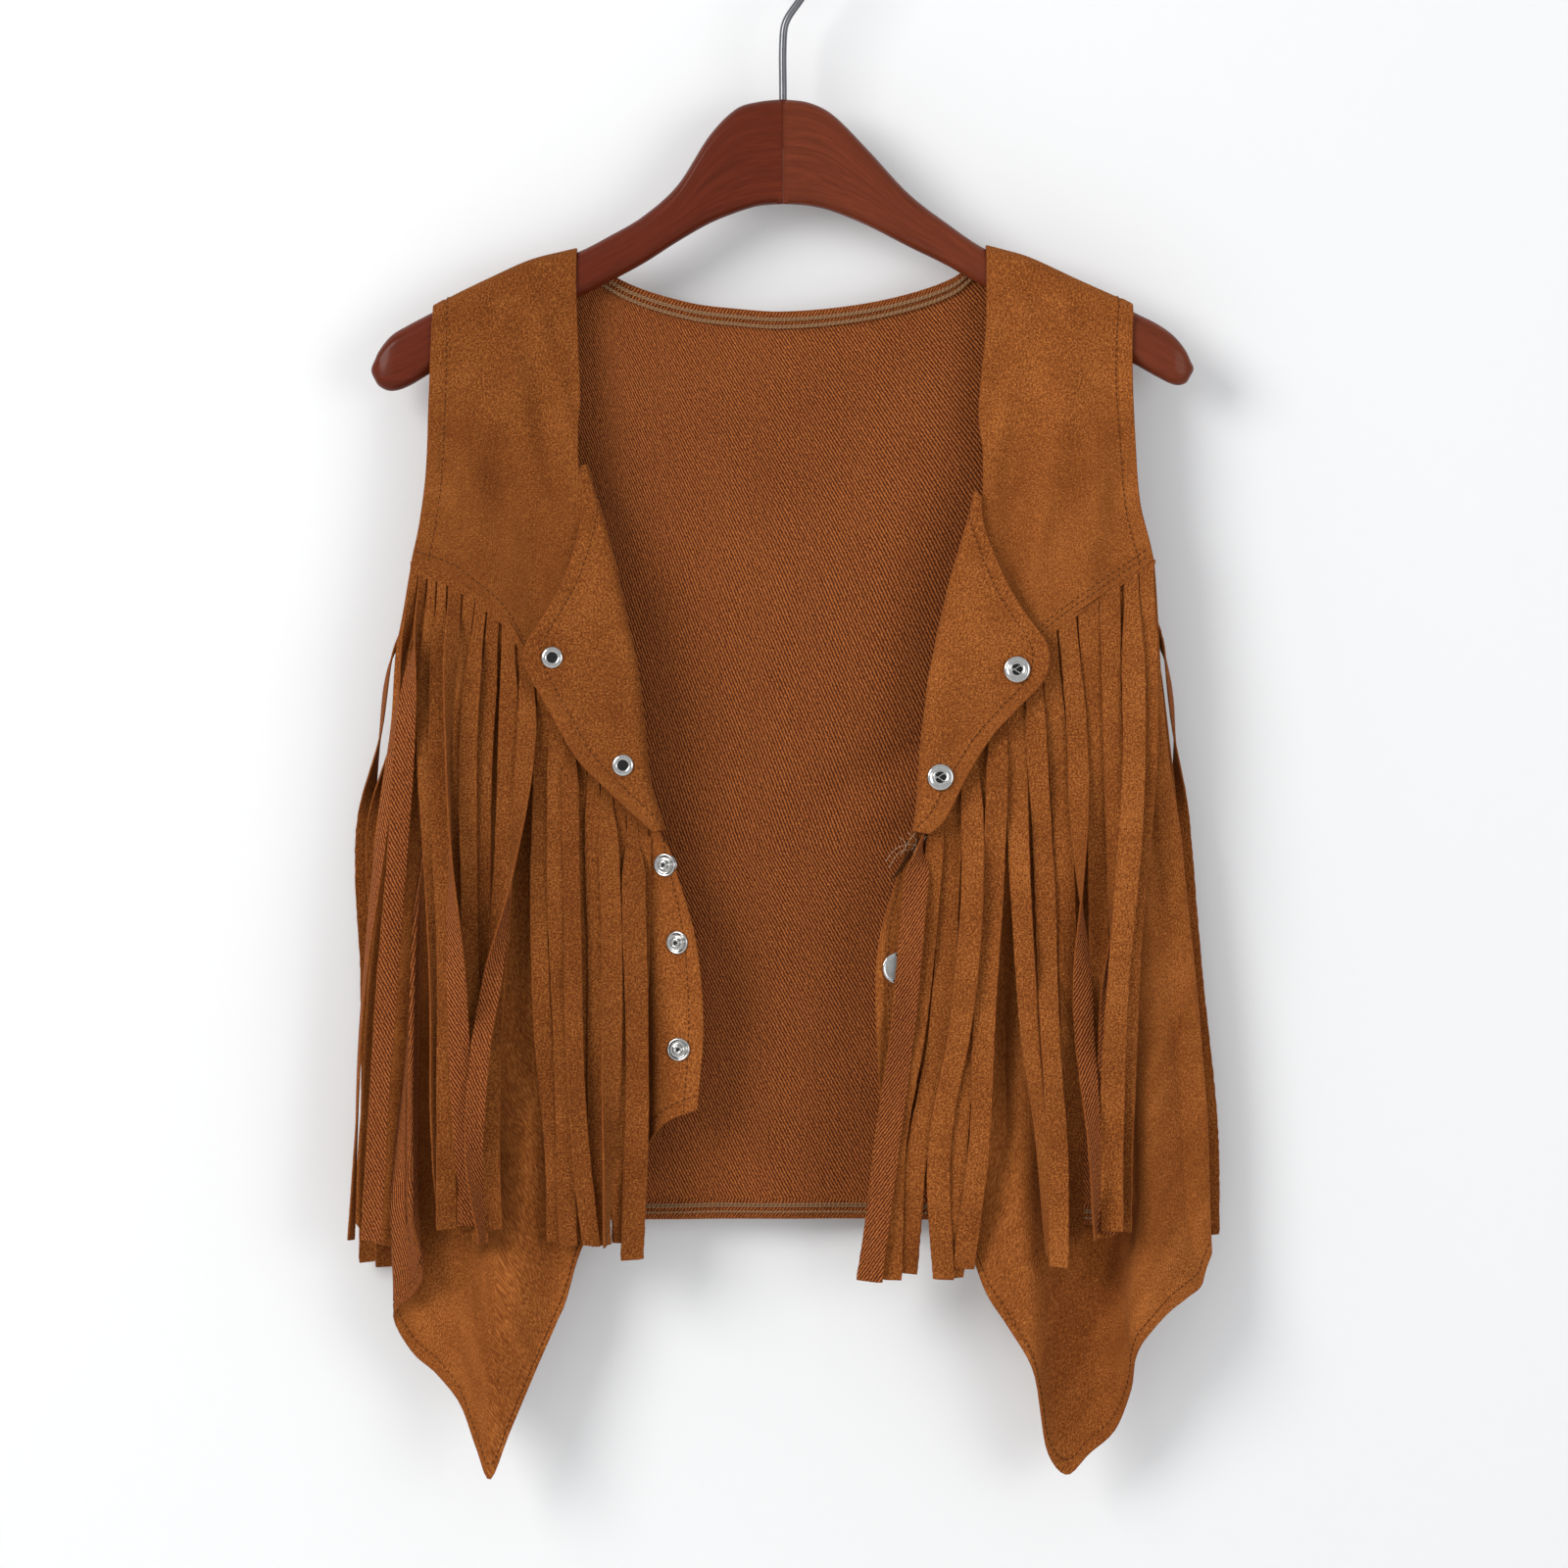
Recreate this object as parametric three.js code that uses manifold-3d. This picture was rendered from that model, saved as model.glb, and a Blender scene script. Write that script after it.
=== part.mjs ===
// A cropped fringe vest of faux suede, open at the front, hung on a wooden hanger.
// Millimetres, +Z up, +X to the viewer's right, the front faces -Y.
// The origin is the inside top of the hook, where a rail holds it.
// In the tables "out" is the distance from the centre line towards either side, "down" is the
// distance below the origin, and "fore" is the distance in front of the hanger's middle plane.
import * as THREE from "three";
import { mergeVertices } from "three/addons/utils/BufferGeometryUtils.js";
import Module from "manifold-3d";

const wasm = await Module();
wasm.setup();

const cloth = 1.2; // wall of the suede
const facedCloth = 2.0; // front edge and its facing, two layers
const gap = 0.3; // between pieces at a seam
const woodHalfThickness = 7;
const rodRadius = 1.9;
const hookInnerRadius = 17;
const shoulderBend = woodHalfThickness + gap + cloth + 0.2; // radius of the cloth over the wood
const headerDepth = 5.5; // uncut band above the fringe's slits
const stripThickness = 1.0;
const seamHalf = 0.8; // from each edge at a side seam to the hanger's plane
const rollGap = 2.3; // from the yoke's cut edge to the roll of the front edge
const tuck = 4; // how far the lower front reaches up behind the yoke
const tuckedDepth = 2.4; // from the yoke's outer face to the outer face tucked behind it
const stripGap = 0.6; // between strips that cross
const snapStand = 3.0; // of a snap's visible half off the cloth

const suede = new THREE.MeshStandardMaterial({ color: 0x9a5a22, roughness: 0.95, side: THREE.DoubleSide });
const wood = new THREE.MeshStandardMaterial({ color: 0x4a1d12, roughness: 0.25 });
const steel = new THREE.MeshStandardMaterial({ color: 0xb9bcc0, roughness: 0.3, metalness: 1 });
const darkSteel = new THREE.MeshStandardMaterial({ color: 0x4c4e52, roughness: 0.35, metalness: 1 });

const table = (names, ...rows) =>
  rows.map((row) => Object.fromEntries(names.split(" ").map((name, i) => [name, row[i]])));
const mix = (a, b, t) => a + (b - a) * t;
const ease = (t) => {
  const s = Math.min(1, Math.max(0, t));
  return s * s * (3 - 2 * s);
};
const steps = (count, make) => Array.from({ length: count + 1 }, (_, i) => make(i / count, i));

// A smooth curve through a table's rows, read at any value of its key column.
function along(rows, key, column, at) {
  const last = rows.length - 1;
  if (at <= rows[0][key]) return rows[0][column];
  if (at >= rows[last][key]) return rows[last][column];
  const i = rows.findIndex((row) => row[key] > at) - 1;
  const slope = (j) => {
    const a = rows[Math.max(0, j - 1)];
    const b = rows[Math.min(last, j + 1)];
    return (b[column] - a[column]) / (b[key] - a[key]);
  };
  const span = rows[i + 1][key] - rows[i][key];
  const t = (at - rows[i][key]) / span;
  const t2 = t * t;
  const t3 = t2 * t;
  return (
    (2 * t3 - 3 * t2 + 1) * rows[i][column] +
    (t3 - 2 * t2 + t) * span * slope(i) +
    (3 * t2 - 2 * t3) * rows[i + 1][column] +
    (t3 - t2) * span * slope(i + 1)
  );
}

// The shapes that differ between the two fronts, as hung.
const sides = {
  left: {
    sign: -1,
    // shoulder ridge, from the neck point to the armhole point
    shoulder: table("out down", [101.3, 161], [107.5, 162.4], [124, 166.7], [143.5, 175.4],
      [160.3, 183.5], [170.9, 189.3]),
    neck: table("down out", [161, 101.3], [184, 101.3], [231, 99.4], [258, 97.3], [268, 97.5]),
    armhole: table("down out", [189, 170.9], [237, 172.8], [272, 174.2], [298, 177.6], [314, 181],
      [339, 185.3], [359, 189], [394, 191.5], [423, 195.8], [453, 200]),
    sideSeam: table("down out", [453, 200], [519, 203], [576, 206], [604, 208], [637, 210]),
    // lower edge of the yoke, from the centre front to the armhole
    yokeEdge: table("out down", [67, 443.5], [76.3, 433], [95.5, 404.3], [110, 380],
      [124.3, 359.7], [134.9, 342.4], [146.9, 331.8], [162.7, 321.3], [181, 315]),
    // a row for each rule across the turned-out front edge, from the neck to the third snap
    lapel: table("foldOut foldDown edgeOut edgeDown lift", [95.5, 268, 98.5, 269, 2.8],
      [90, 285, 97.5, 288, 3.6], [85.5, 300, 100.3, 305, 5], [81, 317, 106.5, 324, 7],
      [77.5, 333, 115.3, 340, 8.5], [75, 346, 123.8, 353.5, 9], [73.5, 353, 126, 361.5, 9],
      [71, 364, 122, 372, 9], [68, 386, 111, 392, 9.5], [66, 406, 99.5, 411.5, 10],
      [64, 422, 86, 425.5, 10], [59.5, 438, 70.5, 440, 9], [57.5, 445, 63.5, 446.5, 8]),
    seamDown: 637,
    // a row for each rib of the lower front, from the side seam to the centre front; heights share
    // out evenly from the yoke seam (top) to the hem: 1 and 2 are a third and two thirds down
    ribs: table("topOut out1 fore1 out2 fore2 hemOut hemFore hemDown",
      [174, 189, 9, 199, 8, 204, 8, 647], [167, 181, 13, 188, 18, 190, 19, 649],
      [161, 174.5, 15, 179, 22, 180, 23, 650.5], [156, 169.5, 15, 171.5, 20, 171.5, 19, 659],
      [152, 166, 13, 172, 13.5, 178.5, 11.5, 671], [148, 162.5, 10.5, 174, 8, 190, 8, 683],
      [144, 159, 9, 169.5, 4.5, 181.5, 4, 701], [139, 154.5, 9.5, 162, 6, 169.5, 6.5, 711.5],
      [133, 149, 11.5, 153, 11, 157.5, 11, 726], [126, 141.5, 13.5, 145, 15, 149.5, 15, 747],
      [119, 133, 14, 137.5, 17, 142.6, 17, 762], [111, 123, 13.5, 128.5, 16.5, 133, 16.5, 739],
      [103, 112, 12.5, 117.5, 14.5, 121, 15, 711], [94, 100.5, 11.5, 104.5, 12, 107, 13, 679],
      [84, 88.5, 11.5, 92.5, 12, 96.5, 12, 646], [74, 75, 12, 76.5, 12, 77, 12.5, 618],
      [65, 60, 13, 60, 13, 60, 13.5, 591], [56, 43, 13.5, 39, 14, 42, 14, 582]),
    centreTop: 456,
    // a row for each strip of the fringe, from the armhole to the centre front: where it leaves the
    // band, its width, where it hangs at four heights, its lower end, its layer and its turns
    strips: table("root width at400 at470 at540 at600 atEnd end layer turn400 turn540 turnEnd",
      [179.6, 8, 190, 198.5, 205.5, 209, 211, 646, 0, 120, 100, 85],
      [175.4, 9.5, 184, 189, 193.5, 198, 201, 646, 1, 180, 180, 180],
      [171.2, 8, 174.5, 170.5, 168.5, 167, 165, 640, 0, 10, 40, 30],
      [166.5, 9, 167.5, 165, 164, 163, 163.2, 640, 1, 5, -20, 0],
      [160, 9.5, 162.5, 161, 157, 154, 153, 638, 2, 80, 170, 180],
      [152.5, 8.5, 160, 157.5, 155, 153, 152.5, 648, 0, 0, 10, 10],
      [147, 8, 153.5, 152.5, 151, 149, 147, 646, 1, 0, 0, -15],
      [141, 8.5, 145.5, 147, 148, 147, 146, 642, 0, 0, 0, 5],
      [134, 9, 134, 137, 141, 142, 141, 640, 1, 0, -10, 0],
      [125, 9.5, 125, 132, 145, 150, 145.5, 646, 3, -20, -180, -110],
      [117, 8.5, 117, 118.5, 117, 112.5, 111, 646, 1, 0, 0, 0],
      [110.5, 8.5, 111, 110, 108.5, 106, 104, 648, 2, 0, 0, 0],
      [104, 8, 104, 103, 102, 98, 93, 648, 3, 0, 0, 0],
      [98.5, 8.5, 98.5, 98.5, 97, 97, 96, 645, 0, 0, 0, 0],
      [92.5, 9, 92.5, 91.5, 91, 90, 88, 648, 2, 0, 0, 10],
      [86, 9.5, 86, 84.5, 83, 84, 86.5, 648, 3, 0, 0, 80],
      [79.5, 8, 79.5, 79, 78, 79, 80, 647, 1, 0, 10, 0],
      [73.5, 11, 73.5, 72.5, 71.5, 71.5, 73, 655, 3, 0, 0, 0],
      [67, 8, 67, 68, 71, 72, 72.5, 644, 0, 0, 0, 0]),
    // strips that fall through the armhole and hang behind the side
    behind: table("root width path end", [173, 9, 196, 661], [177.5, 8, 205, 659]),
    snapsOnLapel: table("out down", [112.3, 362], [77.8, 414.4]),
    snapsOnFront: table("out down", [57.5, 463], [51.4, 500.8], [50.9, 553]),
    wood: table("out top bottom half", [0, 88, 139.4, 7], [12, 89.3, 140.4, 7],
      [23, 92.8, 143.7, 7], [36, 105.8, 149, 7], [51.4, 129.8, 157.8, 7], [68.2, 145.1, 168.5, 7],
      [84, 154.5, 177, 7], [101.5, 163.3, 186, 7], [124, 169, 197.5, 7], [143.5, 177.8, 207.5, 7],
      [160.3, 186, 216, 7], [172, 192.6, 222, 7], [184, 199, 229, 7], [192, 204, 231, 6.6],
      [198, 211.5, 228.5, 5], [200.5, 217, 224.5, 3]),
  },
  right: {
    sign: 1,
    shoulder: table("out down", [99.8, 159.5], [108, 161.6], [120.5, 165.3], [144.5, 176.3],
      [165, 185.5], [170.9, 188.5]),
    neck: table("down out", [159.5, 99.8], [202, 99.4], [233, 96.5], [262, 94.8], [279, 94.5]),
    armhole: table("down out", [188, 170.9], [220, 170.4], [255, 171.8], [286, 174.2],
      [307, 179.3], [319, 181.5], [356, 183.8], [372, 184.8], [395, 187], [417, 189.6],
      [452, 195.2]),
    sideSeam: table("down out", [452, 195.2], [471, 196.8], [519, 202], [558, 205.4], [589, 207.8],
      [633, 209], [653, 209.8]),
    yokeEdge: table("out down", [69, 441.5], [82, 414], [96.5, 389], [109, 371], [127.7, 351.2],
      [154, 332], [181, 314]),
    lapel: table("foldOut foldDown edgeOut edgeDown lift", [93.3, 281, 96.5, 283, 2.8],
      [90.5, 292, 97.5, 296, 3.6], [86.5, 306, 103, 312, 5], [82, 321, 110, 327.5, 7],
      [78, 337, 118.5, 341.5, 8.5], [75, 350, 127, 353, 9], [73.5, 358, 129.3, 361, 9],
      [72, 365, 128, 370, 9], [70.5, 373, 124, 376.5, 9], [69, 386, 113.5, 387, 9],
      [67, 402, 100.5, 401.5, 9.5], [65.5, 420, 88.5, 421, 10], [64.5, 436, 79, 440, 9.5],
      [63, 446, 71.5, 447.5, 8]),
    seamDown: 653,
    ribs: table("topOut out1 fore1 out2 fore2 hemOut hemFore hemDown",
      [176, 187, 9, 201, 8, 206.5, 9, 667], [169, 181, 13, 194, 15, 197, 16, 674],
      [162, 175.5, 15, 185.5, 19.5, 187, 21, 681], [155.5, 169.5, 14.5, 176, 20, 177.5, 21.5, 692],
      [150, 164, 12.5, 168, 16, 171, 17, 705], [145, 158.5, 10.5, 162.5, 9.5, 167.5, 10, 722],
      [140, 152.5, 9.5, 156, 5.5, 161, 6, 740], [134, 146, 9.5, 148.5, 4.5, 150, 4.5, 751],
      [128, 139, 10.5, 140.5, 6, 139.5, 5.5, 761], [122, 131.5, 12, 132, 10.5, 131, 9.5, 752],
      [115.5, 124, 13.5, 125, 15, 125.5, 14.5, 731], [108.5, 116, 14.5, 117.5, 17.5, 120, 18, 706],
      [101, 107.5, 14.5, 108.5, 18, 109.5, 18.5, 687.5], [93, 98, 13.5, 99.5, 16, 98.5, 17, 671],
      [84, 87, 12.5, 88.5, 13, 88, 13.5, 649], [75, 75, 12, 75, 12, 73, 12.5, 626],
      [66.5, 61, 12.5, 61, 12.5, 60, 13, 603], [58.5, 46.5, 13, 46, 13.5, 49, 13.5, 592]),
    centreTop: 459,
    strips: table("root width at400 at470 at540 at600 atEnd end layer turn400 turn540 turnEnd",
      [177.5, 9, 178, 172.5, 168.5, 165.5, 164.5, 641, 0, 0, 0, 10],
      [170, 11, 171, 167, 162, 159.5, 159.4, 640.5, 3, 0, 0, 10],
      [159.5, 9, 160.5, 160.8, 158.5, 156, 157.4, 642, 1, 0, 165, 180],
      [149, 9, 152, 154, 155, 155, 156, 644, 0, 0, 0, 0],
      [138.5, 9.5, 143.5, 145.4, 146, 151, 151.7, 644.5, 3, 0, 165, 100],
      [129.5, 9.5, 133.5, 137.3, 140.6, 141.6, 140.6, 650, 1, 0, 0, 0],
      [121.5, 9.5, 123.5, 127, 130, 133.4, 133.4, 658, 2, 0, 0, 0],
      [113.5, 10, 114, 115.2, 119.5, 126.5, 128.5, 653, 1, 0, 30, 95],
      [105, 10, 105.5, 103, 97.5, 95.5, 88.5, 659.5, 2, 0, 0, 0],
      [97.5, 9, 98, 97, 89.5, 85.5, 84, 664, 0, 0, 0, 0],
      [90.5, 10.5, 91, 92.6, 86, 76.5, 78.5, 664.5, 3, 0, 0, 0],
      [83, 10, 83, 81.6, 76.3, 66, 61, 662, 0, 0, 0, 0],
      [76.5, 8.5, 76.5, 71.5, 61.5, 52.5, 52, 665, 2, 0, 0, 10],
      [70, 12, 70, 65, 59, 50.5, 41.5, 665.5, 4, 180, 180, 180]),
    behind: table("root width path end", [176.5, 9, 210, 645]),
    snapsOnLapel: table("out down", [113.8, 367.8], [76.5, 420.2]),
    snapsOnFront: table("out down", [66, 472], [56, 513.3], [58.2, 566]),
    wood: table("out top bottom half", [0, 88, 139.4, 7], [13, 89.8, 140.4, 7],
      [24.5, 95.7, 143.2, 7], [41.8, 113, 150.3, 7], [61.4, 134.1, 160.3, 7],
      [81.1, 149.4, 170, 7], [100, 161.8, 181, 7], [120.5, 167.8, 191.5, 7], [144.5, 179, 204, 7],
      [165, 188.6, 214.5, 7], [172, 192.4, 217.8, 7], [184, 198.5, 224.5, 7],
      [192, 204.5, 228, 6.6], [197.5, 211.5, 227, 5], [200, 217, 223, 3]),
  },
};

// Inner edge of the left neck point, the back neckline's lowest point and the right neck point.
const backTop = table("x down", [-170.9, 189.3], [-160.3, 183.5], [-143.5, 175.4], [-124, 166.7],
  [-107.5, 162.6], [-98, 164.5], [-74, 177.3], [-45.6, 185.9], [-23, 188.8], [0, 190.2],
  [33, 187.4], [61.4, 181.6], [84, 173.4], [97, 163.5], [108, 161.8], [120.5, 165.3],
  [144.5, 176.3], [165, 185.5], [170.9, 188.5]);
const backHem = table("x down", [-210, 637], [-150, 637.5], [0, 637], [150, 640], [210, 652]);
const backArmhole = {
  "-1": table("down out", [189, 170.9], [240, 170.5], [300, 174], [360, 183], [400, 189],
    [453, 200]),
  1: table("down out", [188, 170.9], [240, 170], [300, 174.5], [360, 184.5], [400, 189.5],
    [452, 195.2]),
};
// soft upright folds of the back: where each runs at the hem, its half width and how far it stands out
const backFolds = table("x halfWidth stand", [-138, 34, 5], [-52, 38, -3.5], [30, 34, 4.5],
  [112, 40, -3], [168, 20, 3.5]);

// A closed wall: a grid of points on its outer face, moved in along the face's normals.
function wall(grid, thickness) {
  const rows = grid.length;
  const columns = grid[0].length;
  const at = (i, j) => grid[Math.min(rows - 1, Math.max(0, i))][Math.min(columns - 1, Math.max(0, j))];
  const inner = grid.map((row, i) =>
    row.map((point, j) => {
      const across = at(i, j + 1).clone().sub(at(i, j - 1));
      const downwards = at(i + 1, j).clone().sub(at(i - 1, j));
      return point.clone().addScaledVector(across.cross(downwards).normalize(), thickness);
    }),
  );
  const points = [...grid.flat(), ...inner.flat()];
  const outerIndex = (i, j) => i * columns + j;
  const innerIndex = (i, j) => rows * columns + i * columns + j;
  const faces = [];
  const quad = (a, b, c, d) => faces.push(a, b, c, a, c, d);
  for (let i = 0; i < rows - 1; i++) {
    for (let j = 0; j < columns - 1; j++) {
      quad(outerIndex(i, j), outerIndex(i + 1, j), outerIndex(i + 1, j + 1), outerIndex(i, j + 1));
      quad(innerIndex(i, j), innerIndex(i, j + 1), innerIndex(i + 1, j + 1), innerIndex(i + 1, j));
    }
  }
  for (let i = 0; i < rows - 1; i++) {
    quad(outerIndex(i, 0), innerIndex(i, 0), innerIndex(i + 1, 0), outerIndex(i + 1, 0));
    const j = columns - 1;
    quad(outerIndex(i, j), outerIndex(i + 1, j), innerIndex(i + 1, j), innerIndex(i, j));
  }
  for (let j = 0; j < columns - 1; j++) {
    quad(outerIndex(0, j), outerIndex(0, j + 1), innerIndex(0, j + 1), innerIndex(0, j));
    const i = rows - 1;
    quad(outerIndex(i, j), innerIndex(i, j), innerIndex(i, j + 1), outerIndex(i, j + 1));
  }
  return solidFrom(points, faces);
}

// Merged, outward-facing geometry from points and triangles.
function solidFrom(points, faces) {
  const geometry = new THREE.BufferGeometry().setFromPoints(points);
  geometry.setIndex(faces);
  return geometry;
}

function toManifold(geometry) {
  const bare = geometry.clone();
  bare.deleteAttribute("normal");
  bare.deleteAttribute("uv");
  const merged = mergeVertices(bare, 1e-3);
  const vertProperties = merged.attributes.position.array;
  const triVerts = new Uint32Array(merged.index.array);
  const made = new wasm.Manifold(new wasm.Mesh({ numProp: 3, vertProperties, triVerts }));
  if (made.volume() > 0) return made;
  for (let i = 0; i < triVerts.length; i += 3) {
    [triVerts[i + 1], triVerts[i + 2]] = [triVerts[i + 2], triVerts[i + 1]];
  }
  return new wasm.Manifold(new wasm.Mesh({ numProp: 3, vertProperties, triVerts }));
}

function fromManifold(solid) {
  const mesh = solid.getMesh();
  const geometry = new THREE.BufferGeometry();
  geometry.setAttribute("position", new THREE.BufferAttribute(mesh.vertProperties, mesh.numProp));
  geometry.setIndex(new THREE.BufferAttribute(mesh.triVerts, 1));
  return geometry;
}

const vest = new THREE.Group();

function addPiece(name, geometry, material) {
  const facingOut = fromManifold(toManifold(geometry));
  const mesh = new THREE.Mesh(facingOut, material);
  mesh.name = name;
  vest.add(mesh);
  return mesh;
}

const place = (side, out, fore, down) => new THREE.Vector3(side.sign * out, -fore, -down);

// How far the turned edge's roll reaches inward from the fold.
const rollRadius = (lift) => (lift + facedCloth) / 2;

// Front edge of the yoke: the neck edge above, and just behind the roll of the lapel below.
function yokeFrontEdge(side, down) {
  const fold = along(side.lapel, "foldDown", "foldOut", down);
  const clearOfRoll = fold + rollRadius(along(side.lapel, "foldDown", "lift", down)) + rollGap;
  const turnStart = side.lapel[0].foldDown;
  return mix(along(side.neck, "down", "out", down), clearOfRoll, ease((down - turnStart + 40) / 22));
}

// The yoke's outer face stands further forward towards the centre front and downwards.
const yokeFore = (down, across) =>
  shoulderBend +
  ease((down - 190) / 200) * mix(5.2, 1.0, across) +
  1.2 * Math.sin(Math.PI * across) * ease((down - 200) / 90);

// across: 0 at the front edge, 1 at the armhole. hang: 0 under the shoulder, 1 at the yoke seam.
function yokeHanging(side, across, hang) {
  const seamStart = side.yokeEdge[0];
  const seamEnd = side.yokeEdge[side.yokeEdge.length - 1];
  const shoulderOut = mix(side.shoulder[0].out, side.shoulder.at(-1).out, across);
  const shoulderDown = along(side.shoulder, "out", "down", shoulderOut) + shoulderBend;
  const frontDown = mix(side.shoulder[0].down + shoulderBend, seamStart.down, hang);
  const armDown = mix(side.shoulder.at(-1).down + shoulderBend, seamEnd.down, hang);
  const frontOut = yokeFrontEdge(side, frontDown);
  const armOut = along(side.armhole, "down", "out", armDown);
  const out = mix(frontOut, armOut, across);
  const straightSeam = mix(seamStart.down, seamEnd.down, across);
  const armSeamOut = along(side.armhole, "down", "out", seamEnd.down);
  const seamOut = mix(yokeFrontEdge(side, seamStart.down), armSeamOut, across);
  const seamBow = along(side.yokeEdge, "out", "down", seamOut) - straightSeam;
  const straightShoulder = mix(side.shoulder[0].down, side.shoulder.at(-1).down, across) + shoulderBend;
  const shoulderBow = shoulderDown - straightShoulder;
  const down = mix(frontDown, armDown, across) + seamBow * hang * hang + shoulderBow * (1 - hang);
  return { out, down, fore: yokeFore(down, across) };
}

function yokeGrid(side, columns, rows) {
  const bends = [24, 0, -32, -62].map((degrees) => (degrees * Math.PI) / 180);
  const bendRows = bends.map((angle) =>
    steps(columns, (across) => {
      const out = mix(side.shoulder[0].out, side.shoulder.at(-1).out, across);
      const ridge = along(side.shoulder, "out", "down", out);
      const drop = shoulderBend * (1 - Math.cos(angle));
      return place(side, out, -shoulderBend * Math.sin(angle), ridge + drop);
    }),
  );
  const hangingRows = steps(rows, (hang) =>
    steps(columns, (across) => {
      const { out, down, fore } = yokeHanging(side, across, hang);
      return place(side, out, fore, down);
    }),
  );
  return [...bendRows, ...hangingRows];
}

// A point of the yoke's outer face on its lower edge, found by its distance from the centre line.
function yokeEdgeFore(side, out) {
  const first = side.yokeEdge[0].out;
  const last = side.yokeEdge.at(-1).out;
  const across = Math.min(1, Math.max(0, (out - first) / (last - first)));
  return yokeFore(along(side.yokeEdge, "out", "down", out), across);
}

// The lower front's outer edge: the armhole first, then the side seam in the hanger's plane.
function frontSideEdge(side, down) {
  const underarm = side.sideSeam[0].down;
  if (down >= underarm) return { out: along(side.sideSeam, "down", "out", down), fore: seamHalf };
  const top = side.yokeEdge.at(-1).down;
  const behindYoke = yokeEdgeFore(side, side.yokeEdge.at(-1).out) - tuckedDepth;
  const fore = mix(behindYoke, seamHalf, ease((down - top) / (underarm - top)));
  return { out: along(side.armhole, "down", "out", down), fore };
}

function lowerFrontRib(side, index, hang) {
  const topOf = (topOut) => ({
    out: topOut,
    fore: yokeEdgeFore(side, topOut) - tuckedDepth,
    down: along(side.yokeEdge, "out", "down", topOut) - tuck,
  });
  if (index === 0) {
    const down = mix(side.yokeEdge.at(-1).down - tuck, side.seamDown, hang);
    const edge = frontSideEdge(side, down);
    return { ...edge, down };
  }
  const rib = side.ribs[index - 1];
  const top = topOf(rib.topOut);
  if (index === side.ribs.length) top.down = side.centreTop;
  const level = [top.out, rib.out1, rib.out2, rib.hemOut];
  const depth = [top.fore, rib.fore1, rib.fore2, rib.hemFore];
  const rows = level.map((out, i) => ({ hang: i / 3, out, fore: depth[i] }));
  return {
    out: along(rows, "hang", "out", hang),
    fore: along(rows, "hang", "fore", hang),
    down: mix(top.down, rib.hemDown, hang),
  };
}

// across: 0 at the side seam, 1 at the centre front.
function lowerFrontPoint(side, across, hang) {
  const ribs = side.ribs.length;
  const rows = Array.from({ length: ribs + 1 }, (_, i) => ({ rib: i, ...lowerFrontRib(side, i, hang) }));
  const at = across * ribs;
  return {
    out: along(rows, "rib", "out", at),
    fore: along(rows, "rib", "fore", at),
    down: along(rows, "rib", "down", at),
  };
}

function lowerFrontGrid(side, columns, rows) {
  return steps(rows, (hang) =>
    steps(columns, (across) => {
      const { out, fore, down } = lowerFrontPoint(side, 1 - across, hang);
      return place(side, out, fore, down);
    }),
  );
}

// The turned-out front edge: an inner leg, a roll at the fold and a blade lying over the yoke.
function lapelGrid(side, rows) {
  const keyed = side.lapel.map((row, i) => ({ ...row, rule: i }));
  const at = (rule, column) => along(keyed, "rule", column, rule);
  return steps(rows, (share) => {
    const rule = share * (keyed.length - 1);
    const fold = { out: at(rule, "foldOut"), down: at(rule, "foldDown") };
    const edge = { out: at(rule, "edgeOut"), down: at(rule, "edgeDown") };
    const lift = at(rule, "lift");
    const base = yokeFore(fold.down, 0);
    const radius = rollRadius(lift);
    const middle = base + (lift - facedCloth) / 2;
    const width = edge.out - fold.out;
    const slope = (edge.down - fold.down) / width;
    const point = (inward, fore) => place(side, fold.out + inward, fore, fold.down + slope * inward);
    const roll = [-90, -50, 0, 50, 90].map((degrees) => {
      const angle = (degrees * Math.PI) / 180;
      const reach = Math.min(radius, width * 0.8);
      return point(reach * (1 - Math.cos(angle)), middle + radius * Math.sin(angle));
    });
    const start = Math.min(radius, width * 0.8);
    const blade = [0.25, 0.5, 0.75, 1].map((part) => {
      const inward = mix(start, width, part);
      const settle = 1.5 * ease(part) * ease(width / 40);
      const down = fold.down + slope * inward;
      const across = Math.min(1, inward / (along(side.armhole, "down", "out", down) - fold.out));
      const resting = yokeFore(down, across) + facedCloth + 2 * gap;
      return point(inward, Math.max(base + lift - settle, resting));
    });
    return [...roll, ...blade];
  });
}

// Distance of the back's outer face behind the hanger's plane.
function backBehind(x, down) {
  const side = x < 0 ? sides.left : sides.right;
  const out = Math.abs(x);
  const woodTop = along(side.wood, "out", "top", out) - 2;
  const ridge = Math.min(along(side.shoulder, "out", "down", out), woodTop);
  const drop = Math.min(shoulderBend, Math.max(0, down - ridge));
  const bent = Math.sqrt(shoulderBend ** 2 - (shoulderBend - drop) ** 2);
  const above = mix(shoulderBend, bent, ease((out - 109) / 8)); // the neck edge stands behind the wood
  const fullness = 4.5 * ease((down - 200) / 260);
  const folds = backFolds.reduce((sum, fold) => {
    const off = (x - fold.x * mix(0.8, 1, ease((down - 300) / 300))) / fold.halfWidth;
    return sum + fold.stand * Math.exp(-2 * off * off) * ease((down - 330) / 260);
  }, 0);
  const edge = backEdge(side, down);
  const inset = Math.min(1, Math.max(0, (edge.out - out) / 22));
  const rounded = Math.sqrt(1 - (1 - inset) ** 2);
  return mix(edge.behind, above + fullness + folds, mix(1, rounded, ease((down - 230) / 120)));
}

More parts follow.
